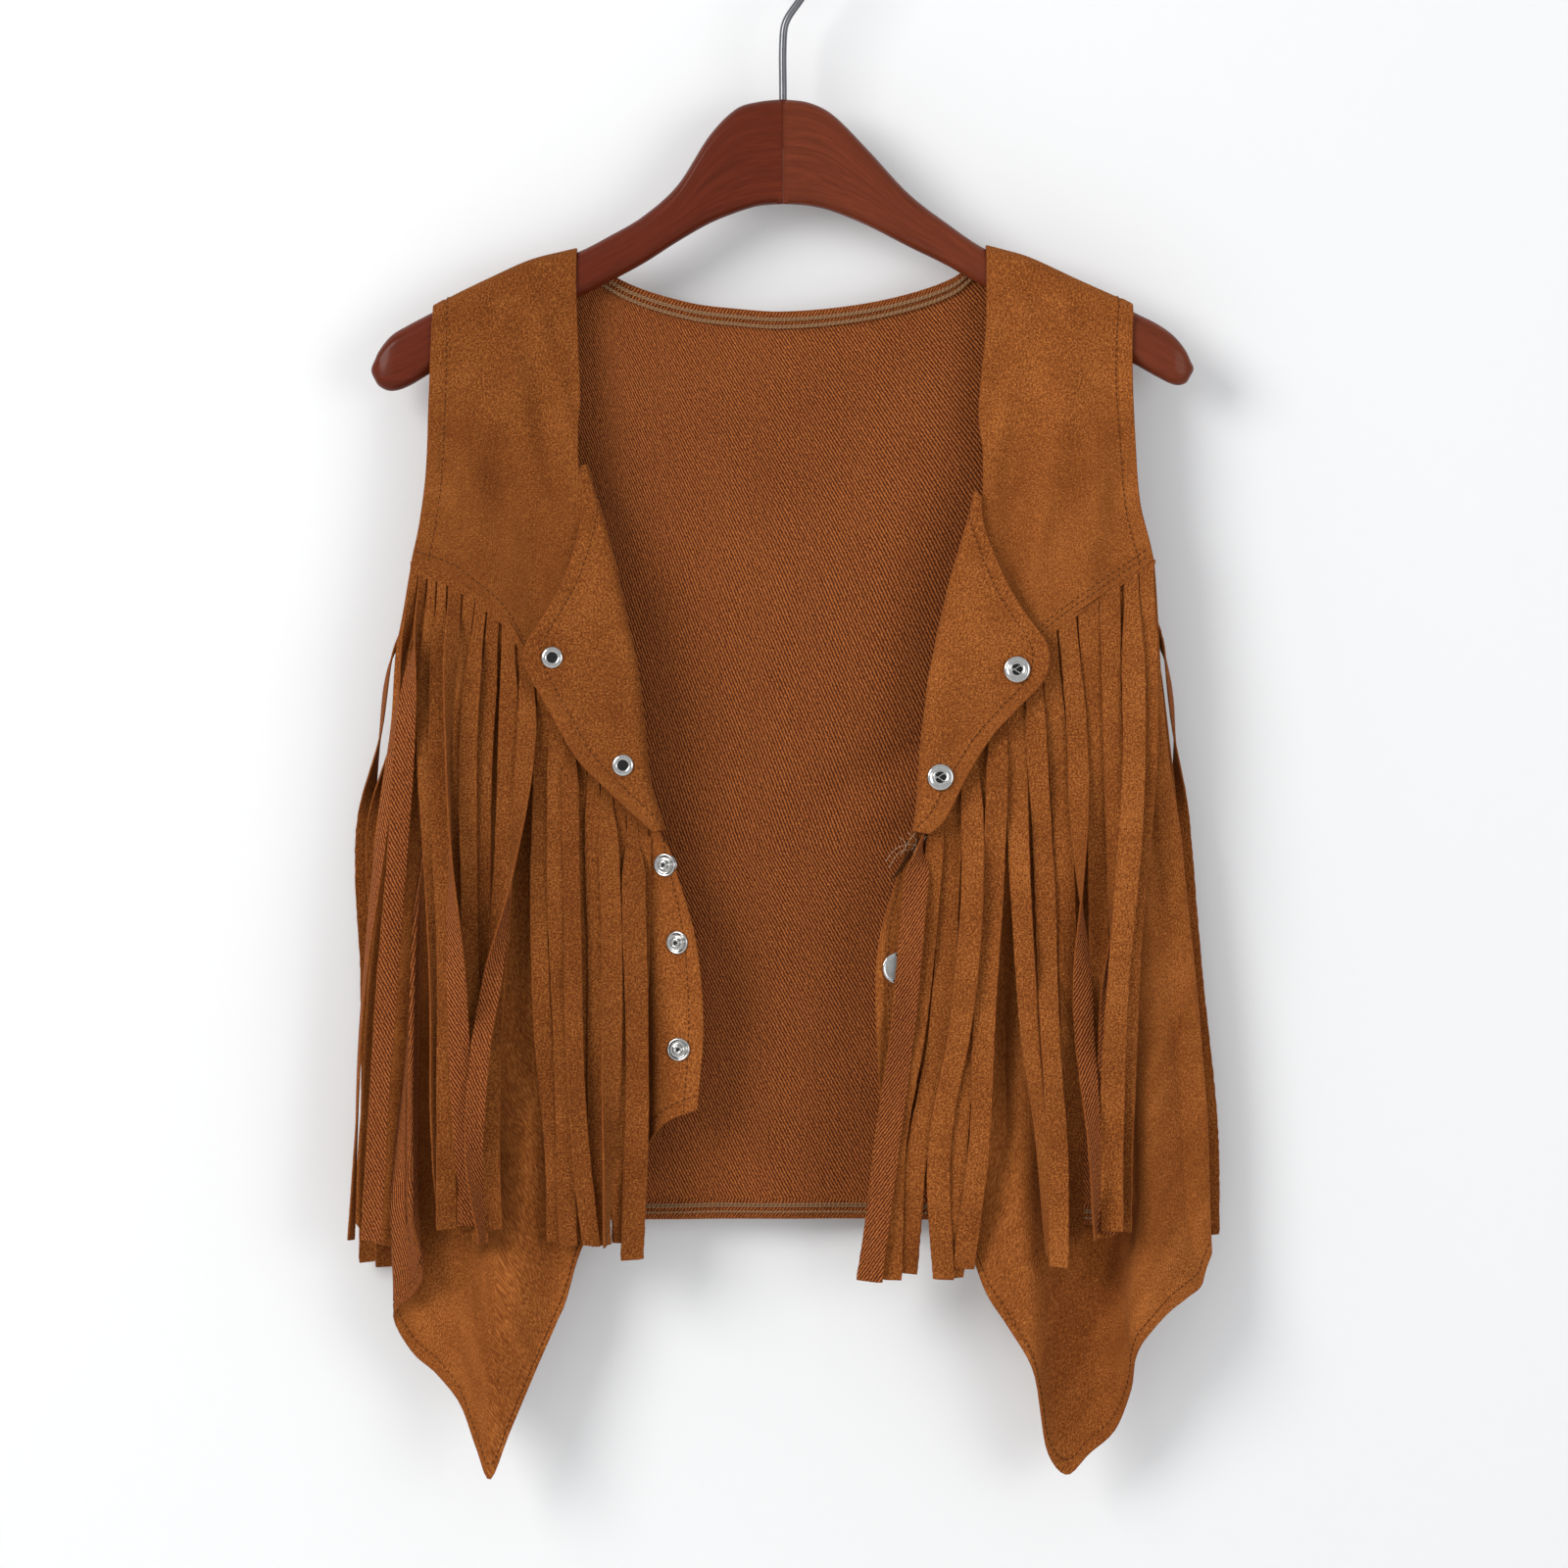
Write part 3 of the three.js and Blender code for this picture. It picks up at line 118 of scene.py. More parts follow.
# %% The shapes of the two fronts and the back
sides = {
    "left": {
        "sign": -1,
        # shoulder ridge, from the neck point to the armhole point
        "shoulder": table("out down", [101.3, 161], [107.5, 162.4], [124, 166.7], [143.5, 175.4],
            [160.3, 183.5], [170.9, 189.3]),
        "neck": table("down out", [161, 101.3], [184, 101.3], [231, 99.4], [258, 97.3], [268, 97.5]),
        "armhole": table("down out", [189, 170.9], [237, 172.8], [272, 174.2], [298, 177.6],
            [314, 181], [339, 185.3],
            [359, 189], [394, 191.5], [423, 195.8], [453, 200]),
        "side_seam": table("down out", [453, 200], [519, 203], [576, 206], [604, 208], [637, 210]),
        # lower edge of the yoke, from the centre front to the armhole
        "yoke_edge": table("out down", [67, 443.5], [76.3, 433], [95.5, 404.3], [110, 380],
            [124.3, 359.7], [134.9, 342.4],
            [146.9, 331.8], [162.7, 321.3], [181, 315]),
        # a row for each rule across the turned-out front edge, from the neck to the third snap
        "lapel": table("fold_out fold_down edge_out edge_down lift",
            [95.5, 268, 98.5, 269, 2.8], [90, 285, 97.5, 288, 3.6], [85.5, 300, 100.3, 305, 5],
            [81, 317, 106.5, 324, 7],
            [77.5, 333, 115.3, 340, 8.5], [75, 346, 123.8, 353.5, 9], [73.5, 353, 126, 361.5, 9],
            [71, 364, 122, 372, 9],
            [68, 386, 111, 392, 9.5], [66, 406, 99.5, 411.5, 10], [64, 422, 86, 425.5, 10],
            [59.5, 438, 70.5, 440, 9],
            [57.5, 445, 63.5, 446.5, 8]),
        "seam_down": 637,
        # a row for each rib of the lower front, from the side seam to the centre front; heights share
        # out evenly from the yoke seam (top) to the hem: 1 and 2 are a third and two thirds down
        "ribs": table("top_out out1 fore1 out2 fore2 hem_out hem_fore hem_down",
            [174, 189, 9, 199, 8, 204, 8, 647],
            [167, 181, 13, 188, 18, 190, 19, 649],
            [161, 174.5, 15, 179, 22, 180, 23, 650.5],
            [156, 169.5, 15, 171.5, 20, 171.5, 19, 659],
            [152, 166, 13, 172, 13.5, 178.5, 11.5, 671],
            [148, 162.5, 10.5, 174, 8, 190, 8, 683],
            [144, 159, 9, 169.5, 4.5, 181.5, 4, 701],
            [139, 154.5, 9.5, 162, 6, 169.5, 6.5, 711.5],
            [133, 149, 11.5, 153, 11, 157.5, 11, 726],
            [126, 141.5, 13.5, 145, 15, 149.5, 15, 747],
            [119, 133, 14, 137.5, 17, 142.6, 17, 762],
            [111, 123, 13.5, 128.5, 16.5, 133, 16.5, 739],
            [103, 112, 12.5, 117.5, 14.5, 121, 15, 711],
            [94, 100.5, 11.5, 104.5, 12, 107, 13, 679],
            [84, 88.5, 11.5, 92.5, 12, 96.5, 12, 646],
            [74, 75, 12, 76.5, 12, 77, 12.5, 618],
            [65, 60, 13, 60, 13, 60, 13.5, 591],
            [56, 43, 13.5, 39, 14, 42, 14, 582]),
        "centre_top": 456,
        # a row for each strip of the fringe, from the armhole to the centre front: where it leaves the
        # band, its width, where it hangs at four heights, its lower end, its layer and its turns
        "strips": table("root width at400 at470 at540 at600 at_end end layer turn400 turn540 turn_end",
            [179.6, 8, 190, 198.5, 205.5, 209, 211, 646, 0, 120, 100, 85],
            [175.4, 9.5, 184, 189, 193.5, 198, 201, 646, 1, 180, 180, 180],
            [171.2, 8, 174.5, 170.5, 168.5, 167, 165, 640, 0, 10, 40, 30],
            [166.5, 9, 167.5, 165, 164, 163, 163.2, 640, 1, 5, -20, 0],
            [160, 9.5, 162.5, 161, 157, 154, 153, 638, 2, 80, 170, 180],
            [152.5, 8.5, 160, 157.5, 155, 153, 152.5, 648, 0, 0, 10, 10],
            [147, 8, 153.5, 152.5, 151, 149, 147, 646, 1, 0, 0, -15],
            [141, 8.5, 145.5, 147, 148, 147, 146, 642, 0, 0, 0, 5],
            [134, 9, 134, 137, 141, 142, 141, 640, 1, 0, -10, 0],
            [125, 9.5, 125, 132, 145, 150, 145.5, 646, 3, -20, -180, -110],
            [117, 8.5, 117, 118.5, 117, 112.5, 111, 646, 1, 0, 0, 0],
            [110.5, 8.5, 111, 110, 108.5, 106, 104, 648, 2, 0, 0, 0],
            [104, 8, 104, 103, 102, 98, 93, 648, 3, 0, 0, 0],
            [98.5, 8.5, 98.5, 98.5, 97, 97, 96, 645, 0, 0, 0, 0],
            [92.5, 9, 92.5, 91.5, 91, 90, 88, 648, 2, 0, 0, 10],
            [86, 9.5, 86, 84.5, 83, 84, 86.5, 648, 3, 0, 0, 80],
            [79.5, 8, 79.5, 79, 78, 79, 80, 647, 1, 0, 10, 0],
            [73.5, 11, 73.5, 72.5, 71.5, 71.5, 73, 655, 3, 0, 0, 0],
            [67, 8, 67, 68, 71, 72, 72.5, 644, 0, 0, 0, 0]),
        # strips that fall through the armhole and hang behind the side
        "behind": table("root width path end", [173, 9, 196, 661], [177.5, 8, 205, 659]),
        "snaps_on_lapel": table("out down", [112.3, 362], [77.8, 414.4]),
        "snaps_on_front": table("out down", [57.5, 463], [51.4, 500.8], [50.9, 553]),
        "wood": table("out top bottom half", [0, 88, 139.4, 7], [12, 89.3, 140.4, 7],
            [23, 92.8, 143.7, 7], [36, 105.8, 149, 7],
            [51.4, 129.8, 157.8, 7], [68.2, 145.1, 168.5, 7], [84, 154.5, 177, 7],
            [101.5, 163.3, 186, 7], [124, 169, 197.5, 7],
            [143.5, 177.8, 207.5, 7], [160.3, 186, 216, 7], [172, 192.6, 222, 7],
            [184, 199, 229, 7], [192, 204, 231, 6.6],
            [198, 211.5, 228.5, 5], [200.5, 217, 224.5, 3]),
    },
    "right": {
        "sign": 1,
        "shoulder": table("out down", [99.8, 159.5], [108, 161.6], [120.5, 165.3], [144.5, 176.3],
            [165, 185.5], [170.9, 188.5]),
        "neck": table("down out", [159.5, 99.8], [202, 99.4], [233, 96.5], [262, 94.8], [279, 94.5]),
        "armhole": table("down out", [188, 170.9], [220, 170.4], [255, 171.8], [286, 174.2],
            [307, 179.3], [319, 181.5],
            [356, 183.8], [372, 184.8], [395, 187], [417, 189.6], [452, 195.2]),
        "side_seam": table("down out", [452, 195.2], [471, 196.8], [519, 202], [558, 205.4],
            [589, 207.8], [633, 209], [653, 209.8]),
        "yoke_edge": table("out down", [69, 441.5], [82, 414], [96.5, 389], [109, 371],
            [127.7, 351.2], [154, 332],
            [181, 314]),
        "lapel": table("fold_out fold_down edge_out edge_down lift",
            [93.3, 281, 96.5, 283, 2.8], [90.5, 292, 97.5, 296, 3.6], [86.5, 306, 103, 312, 5],
            [82, 321, 110, 327.5, 7],
            [78, 337, 118.5, 341.5, 8.5], [75, 350, 127, 353, 9], [73.5, 358, 129.3, 361, 9],
            [72, 365, 128, 370, 9],
            [70.5, 373, 124, 376.5, 9], [69, 386, 113.5, 387, 9], [67, 402, 100.5, 401.5, 9.5],
            [65.5, 420, 88.5, 421, 10],
            [64.5, 436, 79, 440, 9.5], [63, 446, 71.5, 447.5, 8]),
        "seam_down": 653,
        "ribs": table("top_out out1 fore1 out2 fore2 hem_out hem_fore hem_down",
            [176, 187, 9, 201, 8, 206.5, 9, 667],
            [169, 181, 13, 194, 15, 197, 16, 674],
            [162, 175.5, 15, 185.5, 19.5, 187, 21, 681],
            [155.5, 169.5, 14.5, 176, 20, 177.5, 21.5, 692],
            [150, 164, 12.5, 168, 16, 171, 17, 705],
            [145, 158.5, 10.5, 162.5, 9.5, 167.5, 10, 722],
            [140, 152.5, 9.5, 156, 5.5, 161, 6, 740],
            [134, 146, 9.5, 148.5, 4.5, 150, 4.5, 751],
            [128, 139, 10.5, 140.5, 6, 139.5, 5.5, 761],
            [122, 131.5, 12, 132, 10.5, 131, 9.5, 752],
            [115.5, 124, 13.5, 125, 15, 125.5, 14.5, 731],
            [108.5, 116, 14.5, 117.5, 17.5, 120, 18, 706],
            [101, 107.5, 14.5, 108.5, 18, 109.5, 18.5, 687.5],
            [93, 98, 13.5, 99.5, 16, 98.5, 17, 671],
            [84, 87, 12.5, 88.5, 13, 88, 13.5, 649],
            [75, 75, 12, 75, 12, 73, 12.5, 626],
            [66.5, 61, 12.5, 61, 12.5, 60, 13, 603],
            [58.5, 46.5, 13, 46, 13.5, 49, 13.5, 592]),
        "centre_top": 459,
        "strips": table("root width at400 at470 at540 at600 at_end end layer turn400 turn540 turn_end",
            [177.5, 9, 178, 172.5, 168.5, 165.5, 164.5, 641, 0, 0, 0, 10],
            [170, 11, 171, 167, 162, 159.5, 159.4, 640.5, 3, 0, 0, 10],
            [159.5, 9, 160.5, 160.8, 158.5, 156, 157.4, 642, 1, 0, 165, 180],
            [149, 9, 152, 154, 155, 155, 156, 644, 0, 0, 0, 0],
            [138.5, 9.5, 143.5, 145.4, 146, 151, 151.7, 644.5, 3, 0, 165, 100],
            [129.5, 9.5, 133.5, 137.3, 140.6, 141.6, 140.6, 650, 1, 0, 0, 0],
            [121.5, 9.5, 123.5, 127, 130, 133.4, 133.4, 658, 2, 0, 0, 0],
            [113.5, 10, 114, 115.2, 119.5, 126.5, 128.5, 653, 1, 0, 30, 95],
            [105, 10, 105.5, 103, 97.5, 95.5, 88.5, 659.5, 2, 0, 0, 0],
            [97.5, 9, 98, 97, 89.5, 85.5, 84, 664, 0, 0, 0, 0],
            [90.5, 10.5, 91, 92.6, 86, 76.5, 78.5, 664.5, 3, 0, 0, 0],
            [83, 10, 83, 81.6, 76.3, 66, 61, 662, 0, 0, 0, 0],
            [76.5, 8.5, 76.5, 72.5, 65.5, 56.5, 53, 665, 2, 0, 0, 10],
            [70, 12, 70, 65, 59, 50.5, 41.5, 665.5, 4, 180, 180, 180]),
        "behind": table("root width path end", [176.5, 9, 210, 645]),
        "snaps_on_lapel": table("out down", [113.8, 367.8], [76.5, 420.2]),
        "snaps_on_front": table("out down", [66, 472], [56, 513.3], [58.2, 566]),
        "wood": table("out top bottom half", [0, 88, 139.4, 7], [13, 89.8, 140.4, 7],
            [24.5, 95.7, 143.2, 7],
            [41.8, 113, 150.3, 7], [61.4, 134.1, 160.3, 7], [81.1, 149.4, 170, 7],
            [100, 161.8, 181, 7], [120.5, 167.8, 191.5, 7],
            [144.5, 179, 204, 7], [165, 188.6, 214.5, 7], [172, 192.4, 217.8, 7],
            [184, 198.5, 224.5, 7], [192, 204.5, 228, 6.6],
            [197.5, 211.5, 227, 5], [200, 217, 223, 3]),
    },
}

# Inner edge of the left neck point, the back neckline's lowest point and the right neck point.
back_top = table("x down", [-170.9, 189.3], [-160.3, 183.5], [-143.5, 175.4], [-124, 166.7],
    [-107.5, 162.6],
    [-98, 164.5], [-74, 177.3], [-45.6, 185.9], [-23, 188.8], [0, 190.2], [33, 187.4],
    [61.4, 181.6], [84, 173.4],
    [97, 163.5], [108, 161.8], [120.5, 165.3], [144.5, 176.3], [165, 185.5], [170.9, 188.5])
back_hem = table("x down", [-210, 637], [-150, 637.5], [0, 637], [150, 640], [210, 652])
back_armhole = {
    -1: table("down out", [189, 170.9], [240, 170.5], [300, 174], [360, 183], [400, 189], [453, 200]),
    1: table("down out", [188, 170.9], [240, 170], [300, 174.5], [360, 184.5], [400, 189.5],
        [452, 195.2]),
}
# soft upright folds of the back: where each runs at the hem, its half width and how far it stands out
back_folds = table("x half_width stand", [-138, 34, 5], [-52, 38, -3.5], [30, 34, 4.5],
    [112, 40, -3], [168, 20, 3.5])
print("tables:", ", ".join(sides["left"]))


# %% [markdown]
# ## The forms as functions
# Each piece of cloth is a formula: give it a place across and down the piece, and it returns a
# point in space. The same formula then serves the cloth, its stitches and the snaps on it, so
# nothing has to be fitted afterwards.

# %% Yokes and turned-out front edges
def place(side, out, fore, down):
    out, fore, down = np.broadcast_arrays(out, fore, down)
    return np.stack([side["sign"] * out, -fore, -down], axis=-1)


def roll_radius(lift):
    return (lift + faced_cloth) / 2


def yoke_front_edge(side, down):
    lapel = side["lapel"]
    fold = along(lapel, "fold_down", "fold_out", down)
    clear_of_roll = fold + roll_radius(along(lapel, "fold_down", "lift", down)) + roll_gap
    turn_start = lapel["fold_down"][0]
    along_neck = along(side["neck"], "down", "out", down)
    return mix(along_neck, clear_of_roll, ease((down - turn_start + 40) / 22))


def yoke_fore(down, across):
    bow = 1.2 * np.sin(np.pi * across) * ease((down - 200) / 90)
    return shoulder_bend + ease((down - 190) / 200) * mix(5.2, 1.0, across) + bow


def yoke_hanging(side, across, hang):
    seam, shoulder, armhole = side["yoke_edge"], side["shoulder"], side["armhole"]
    shoulder_out = mix(shoulder["out"][0], shoulder["out"][-1], across)
    shoulder_down = along(shoulder, "out", "down", shoulder_out) + shoulder_bend
    front_down = mix(shoulder["down"][0] + shoulder_bend, seam["down"][0], hang)
    arm_down = mix(shoulder["down"][-1] + shoulder_bend, seam["down"][-1], hang)
    out = mix(yoke_front_edge(side, front_down), along(armhole, "down", "out", arm_down), across)
    arm_seam_out = along(armhole, "down", "out", seam["down"][-1])
    seam_out = mix(yoke_front_edge(side, seam["down"][0]), arm_seam_out, across)
    seam_bow = along(seam, "out", "down", seam_out) - mix(seam["down"][0], seam["down"][-1], across)
    straight_shoulder = mix(shoulder["down"][0], shoulder["down"][-1], across) + shoulder_bend
    bows = seam_bow * hang * hang + (shoulder_down - straight_shoulder) * (1 - hang)
    down = mix(front_down, arm_down, across) + bows
    return out, yoke_fore(down, across), down


def yoke_grid(side, columns, rows):
    across = spaced(columns)[None, :]
    shoulder = side["shoulder"]
    angle = np.radians(np.linspace(24, -84, 13))[:, None]
    out = mix(shoulder["out"][0], shoulder["out"][-1], across)
    ridge = along(shoulder, "out", "down", out)
    over = place(side, out, -shoulder_bend * np.sin(angle), ridge + shoulder_bend * (1 - np.cos(angle)))
    hang = spaced(rows)[:, None]
    return np.concatenate([over, place(side, *yoke_hanging(side, across, hang))])


def yoke_edge_fore(side, out):
    seam = side["yoke_edge"]
    across = np.clip((out - seam["out"][0]) / (seam["out"][-1] - seam["out"][0]), 0, 1)
    return yoke_fore(along(seam, "out", "down", out), across)


def lapel_grid(side, rows):
    lapel = side["lapel"]
    keys = np.arange(len(lapel["lift"]))
    rule = np.linspace(0, keys[-1], rows)
    fold_out, fold_down, edge_out, edge_down, lift = (
        curve(keys, lapel[name], rule)[:, None]
        for name in ("fold_out", "fold_down", "edge_out", "edge_down", "lift")
    )
    base, radius, width = yoke_fore(fold_down, 0), roll_radius(lift), edge_out - fold_out
    middle = base + (lift - faced_cloth) / 2
    slope = (edge_down - fold_down) / width
    reach = np.minimum(radius, width * 0.8)
    angle = np.radians(np.linspace(-90, 90, 17))[None, :]
    inward = reach * (1 - np.cos(angle))
    roll = place(side, fold_out + inward, middle + radius * np.sin(angle), fold_down + slope * inward)
    part = (1 - (1 - np.linspace(0, 1, 34)[1:]) ** 1.3)[None, :]
    inward = mix(reach, width, part)
    down = fold_down + slope * inward
    settle = 1.5 * ease(part) * ease(width / 40)
    across = np.clip(inward / (along(side["armhole"], "down", "out", down) - fold_out), 0, 1)
    resting = yoke_fore(down, across) + faced_cloth + 2 * gap
    fore = np.maximum(base + lift - settle, resting)
    return np.concatenate([roll, place(side, fold_out + inward, fore, down)], 1)


# %% Lower fronts and back
def front_side_edge(side, down):
    underarm, top = side["side_seam"]["down"][0], side["yoke_edge"]["down"][-1]
    armhole_fore = mix(yoke_edge_fore(side, side["yoke_edge"]["out"][-1]) - 2.4, seam_half,
                       ease((down - top) / (underarm - top)))
    out = np.where(down >= underarm, along(side["side_seam"], "down", "out", down),
                   along(side["armhole"], "down", "out", down))
    return out, np.where(down >= underarm, seam_half, armhole_fore)


def lower_front(side, across, hang):
    """across: 0 at the side seam, 1 at the centre front. hang: 0 behind the yoke, 1 at the hem."""
    ribs = side["ribs"]
    top_down = along(side["yoke_edge"], "out", "down", ribs["top_out"]) - tuck
    top_down[-1] = side["centre_top"]
    top_fore = yoke_edge_fore(side, ribs["top_out"]) - 2.4
    levels = [0, 1 / 3, 2 / 3, 1]
    outs = curve(levels, np.stack([ribs["top_out"], ribs["out1"], ribs["out2"], ribs["hem_out"]]), hang)
    fores = curve(levels, np.stack([top_fore, ribs["fore1"], ribs["fore2"], ribs["hem_fore"]]), hang)
    downs = mix(top_down, ribs["hem_down"], hang[:, None])
    edge_down = mix(side["yoke_edge"]["down"][-1] - tuck, side["seam_down"], hang)
    edge_out, edge_fore = front_side_edge(side, edge_down)
    at = across * len(ribs["top_out"])
    keys = np.arange(len(ribs["top_out"]) + 1)
    rows = (np.column_stack(pair) for pair in ((edge_out, outs), (edge_fore, fores), (edge_down, downs)))
    out, fore, down = (curve(keys, row.T, at).T for row in rows)
    return place(side, out, fore, down)


def back_edge(side, down):
    underarm = side["side_seam"]["down"][0]
    behind = mix(shoulder_bend, seam_half, ease((down - 200) / (underarm - 200)))
    out = np.where(down >= underarm, along(side["side_seam"], "down", "out", down),
                   along(back_armhole[side["sign"]], "down", "out", down))
    return out, np.where(down >= underarm, seam_half, behind)


def back_behind(side, out, down):
    wood_top = along(side["wood"], "out", "top", out) - 2
    ridge = np.minimum(along(side["shoulder"], "out", "down", out), wood_top)
    drop = np.clip(down - ridge, 0, shoulder_bend)
    bent = np.sqrt(shoulder_bend ** 2 - (shoulder_bend - drop) ** 2)
    above = mix(shoulder_bend, bent, ease((out - 109) / 8))
    x = side["sign"] * out
    folds = 0
    for fold_x, half_width, stand in zip(*back_folds.values()):
        off = (x - fold_x * mix(0.8, 1, ease((down - 300) / 300))) / half_width
        folds = folds + stand * np.exp(-2 * off * off) * ease((down - 330) / 260)
    edge_out, edge_behind = back_edge(side, down)
    inset = np.clip((edge_out - out) / 22, 0, 1)
    rounded = np.sqrt(1 - (1 - inset) ** 2)
    full = above + 4.5 * ease((down - 200) / 260) + folds
    return mix(edge_behind, full, mix(1, rounded, ease((down - 230) / 120)))


def back_grid(columns, rows):
    across, hang = spaced(columns, 0.6)[None, :], spaced(rows, 0.75)[:, None]
    top_down = along(back_top, "x", "down", mix(-170.9, 170.9, across))
    down = mix(top_down, along(back_hem, "x", "down", mix(-210, 210, across)), hang)
    left_out, right_out = back_edge(sides["left"], down)[0], back_edge(sides["right"], down)[0]
    x = mix(-left_out, right_out, across)
    down = down + 1.6 * (1 - hang)
    left_behind, right_behind = (back_behind(side, np.abs(x), down) for side in sides.values())
    behind = np.where(x < 0, left_behind, right_behind)
    return np.stack([x, behind, -down], axis=-1)


print("back, mm across:", round(float(np.ptp(back_grid(9, 9)[..., 0]))))

# %% [markdown]
# ## From a grid to cloth
# A shell needs an outer face, an inner face and a rim that joins them. The rim here is half
# round, since a cut edge of suede is soft, and it is a surface of its own, so the shading stays
# crisp where the face turns into the edge. Blender's Solidify modifier could do the same, but it
# gives no say over the rim's shape or its texture coordinates.

# %% Shells, tubes and meshes
def normals(grid):
    n = np.cross(np.gradient(grid, axis=1), np.gradient(grid, axis=0))
    return n / np.maximum(np.linalg.norm(n, axis=2, keepdims=True), 1e-9)


def edge_distances(grid):
    """How far each point is from the first and last column and from the first and last row."""
    across = np.linalg.norm(np.diff(grid, axis=1), axis=2)
    down = np.linalg.norm(np.diff(grid, axis=0), axis=2)
    first = np.concatenate([np.zeros((len(grid), 1)), np.cumsum(across, axis=1)], axis=1)
    top = np.concatenate([np.zeros((1, grid.shape[1])), np.cumsum(down, axis=0)])
    return {"first": first, "last": first[:, -1:] - first, "top": top, "bottom": top[-1:] - top}


def grid_quads(rows, columns, closed=False):
    index = np.arange(rows * columns).reshape(rows, columns)
    if closed:
        index = np.column_stack([index, index[:, 0]])
    return np.stack([index[:-1, :-1], index[1:, :-1], index[1:, 1:], index[:-1, 1:]], -1).reshape(-1, 4)


def rim(outer, inner, facing):
    """A half-round edge between the two faces, all the way round the grid."""
    def loop(grid):
        return np.concatenate([grid[0, :-1], grid[:-1, -1], grid[-1, :0:-1], grid[:0:-1, 0]])

    from_inside = np.concatenate([outer[0, :-1] - outer[1, :-1], outer[:-1, -1] - outer[:-1, -2],
                                  outer[-1, :0:-1] - outer[-2, :0:-1], outer[:0:-1, 0] - outer[:0:-1, 1]])
    out_points, in_points = loop(outer), loop(inner)
    through = (out_points - in_points) / 2
    half = np.linalg.norm(through, axis=1, keepdims=True)
    away = from_inside - through * np.sum(from_inside * through, 1, keepdims=True) / half ** 2
    away /= np.maximum(np.linalg.norm(away, axis=1, keepdims=True), 1e-9)
    middle = (out_points + in_points) / 2
    angles = np.radians([0, 45, 90, 135, 180])
    rings = [middle + through * np.cos(a) + away * half * 0.7 * np.sin(a) for a in angles]
    points = np.stack(rings)
    quads = grid_quads(len(angles), points.shape[1], closed=True)
    length = np.cumsum(np.linalg.norm(np.diff(out_points, axis=0, prepend=out_points[-1:]), axis=1))
    uv = np.stack(np.broadcast_arrays(length[None, :], np.linspace(0, 2, len(angles))[:, None]), -1)
    return points.reshape(-1, 3), quads if facing > 0 else quads[:, ::-1], uv.reshape(-1, 2)


def shell(grid, thickness, facing, slots=(0, 1, 2), start=(0, 0), even=False):
    """The parts of a thin shell: the grid is its outer face, facing says which way that looks.
    The flat coordinates are distances along the cloth, for an even strip the mean of its columns."""
    inner = grid - facing * normals(grid) * thickness
    rows, columns = grid.shape[:2]
    quads = grid_quads(rows, columns)
    across, down = (edge_distances(grid)[name] for name in ("first", "top"))
    if even:
        down = np.broadcast_to(down.mean(axis=1, keepdims=True), down.shape)
    uv = np.stack([across, down], -1).reshape(-1, 2) + start
    outward = quads[:, ::-1] if facing > 0 else quads
    rim_points, rim_quads, rim_uv = rim(grid, inner, facing)
    return [
        (grid.reshape(-1, 3), outward, slots[0], uv),
        (inner.reshape(-1, 3), outward[:, ::-1], slots[1], uv * [-1, 1]),
        (rim_points, rim_quads, slots[2], rim_uv + start),
    ]


def make_object(name, parts, materials):
    """One mesh from parts: points in millimetres, faces, a material and texture coordinates."""
    offset, points, faces, slots, coordinates = 0, [], [], [], []
    for part_points, part_faces, slot, uv in parts:
        points.append(part_points * MM)
        faces.append(part_faces + offset)
        slots.append(np.full(len(part_faces), slot))
        coordinates.append(uv * MM)
        offset += len(part_points)
    mesh = bpy.data.meshes.new(name)
    faces = np.concatenate(faces)
    mesh.from_pydata(np.concatenate(points).tolist(), [], faces.tolist())
    for material in materials:
        mesh.materials.append(material)
    mesh.polygons.foreach_set("material_index", np.concatenate(slots).astype(np.int32))
    mesh.polygons.foreach_set("use_smooth", np.ones(len(mesh.polygons), bool))
    layer = mesh.uv_layers.new(name="cloth")
    corners = np.concatenate(coordinates)[faces.reshape(-1)]
    layer.data.foreach_set("uv", corners.astype(np.float32).reshape(-1))
    mesh.update()
    made = bpy.data.objects.new(name, mesh)
    bpy.context.scene.collection.objects.link(made)
    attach(made, "root")
    return made


def dress(node, ending, parts, materials):
    """A finished piece that stands for a node of the frame and hides that node's own mesh."""
    made = make_object(node + ending, parts, materials)
    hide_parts(node)
    return made


def tube(points, radius, around=12):
    """A round tube with closed, slightly domed ends, along a line of points."""
    points = np.asarray(points, float)
    tangent = np.gradient(points, axis=0)
    tangent /= np.linalg.norm(tangent, axis=1, keepdims=True)
    helper = np.array([0.0, 1.0, 0.0]) if abs(tangent[:, 1]).mean() < 0.8 else np.array([1.0, 0.0, 0.0])
    one = np.cross(tangent, helper)
    one /= np.linalg.norm(one, axis=1, keepdims=True)
    two = np.cross(tangent, one)
    angle = np.linspace(0, 2 * np.pi, around, endpoint=False)
    radius = np.broadcast_to(radius, len(points)).copy()
    points = np.concatenate([points[:1], points, points[-1:]])
    one, two = (np.concatenate([v[:1], v, v[-1:]]) for v in (one, two))
    radius = np.concatenate([[radius[0] * 0.02], radius, [radius[-1] * 0.02]])
    round_ = np.cos(angle)[None, :, None] * one[:, None] + np.sin(angle)[None, :, None] * two[:, None]
    grid = points[:, None] + radius[:, None, None] * round_
    length = np.cumsum(np.linalg.norm(np.diff(points, axis=0, prepend=points[:1]), axis=1))
    turn = np.linspace(0, 1, around)[None, :] * 2 * np.pi * radius.max()
    uv = np.stack(np.broadcast_arrays(length[:, None], turn), -1)
    return grid.reshape(-1, 3), grid_quads(len(points), around, closed=True)[:, ::-1], uv.reshape(-1, 2)


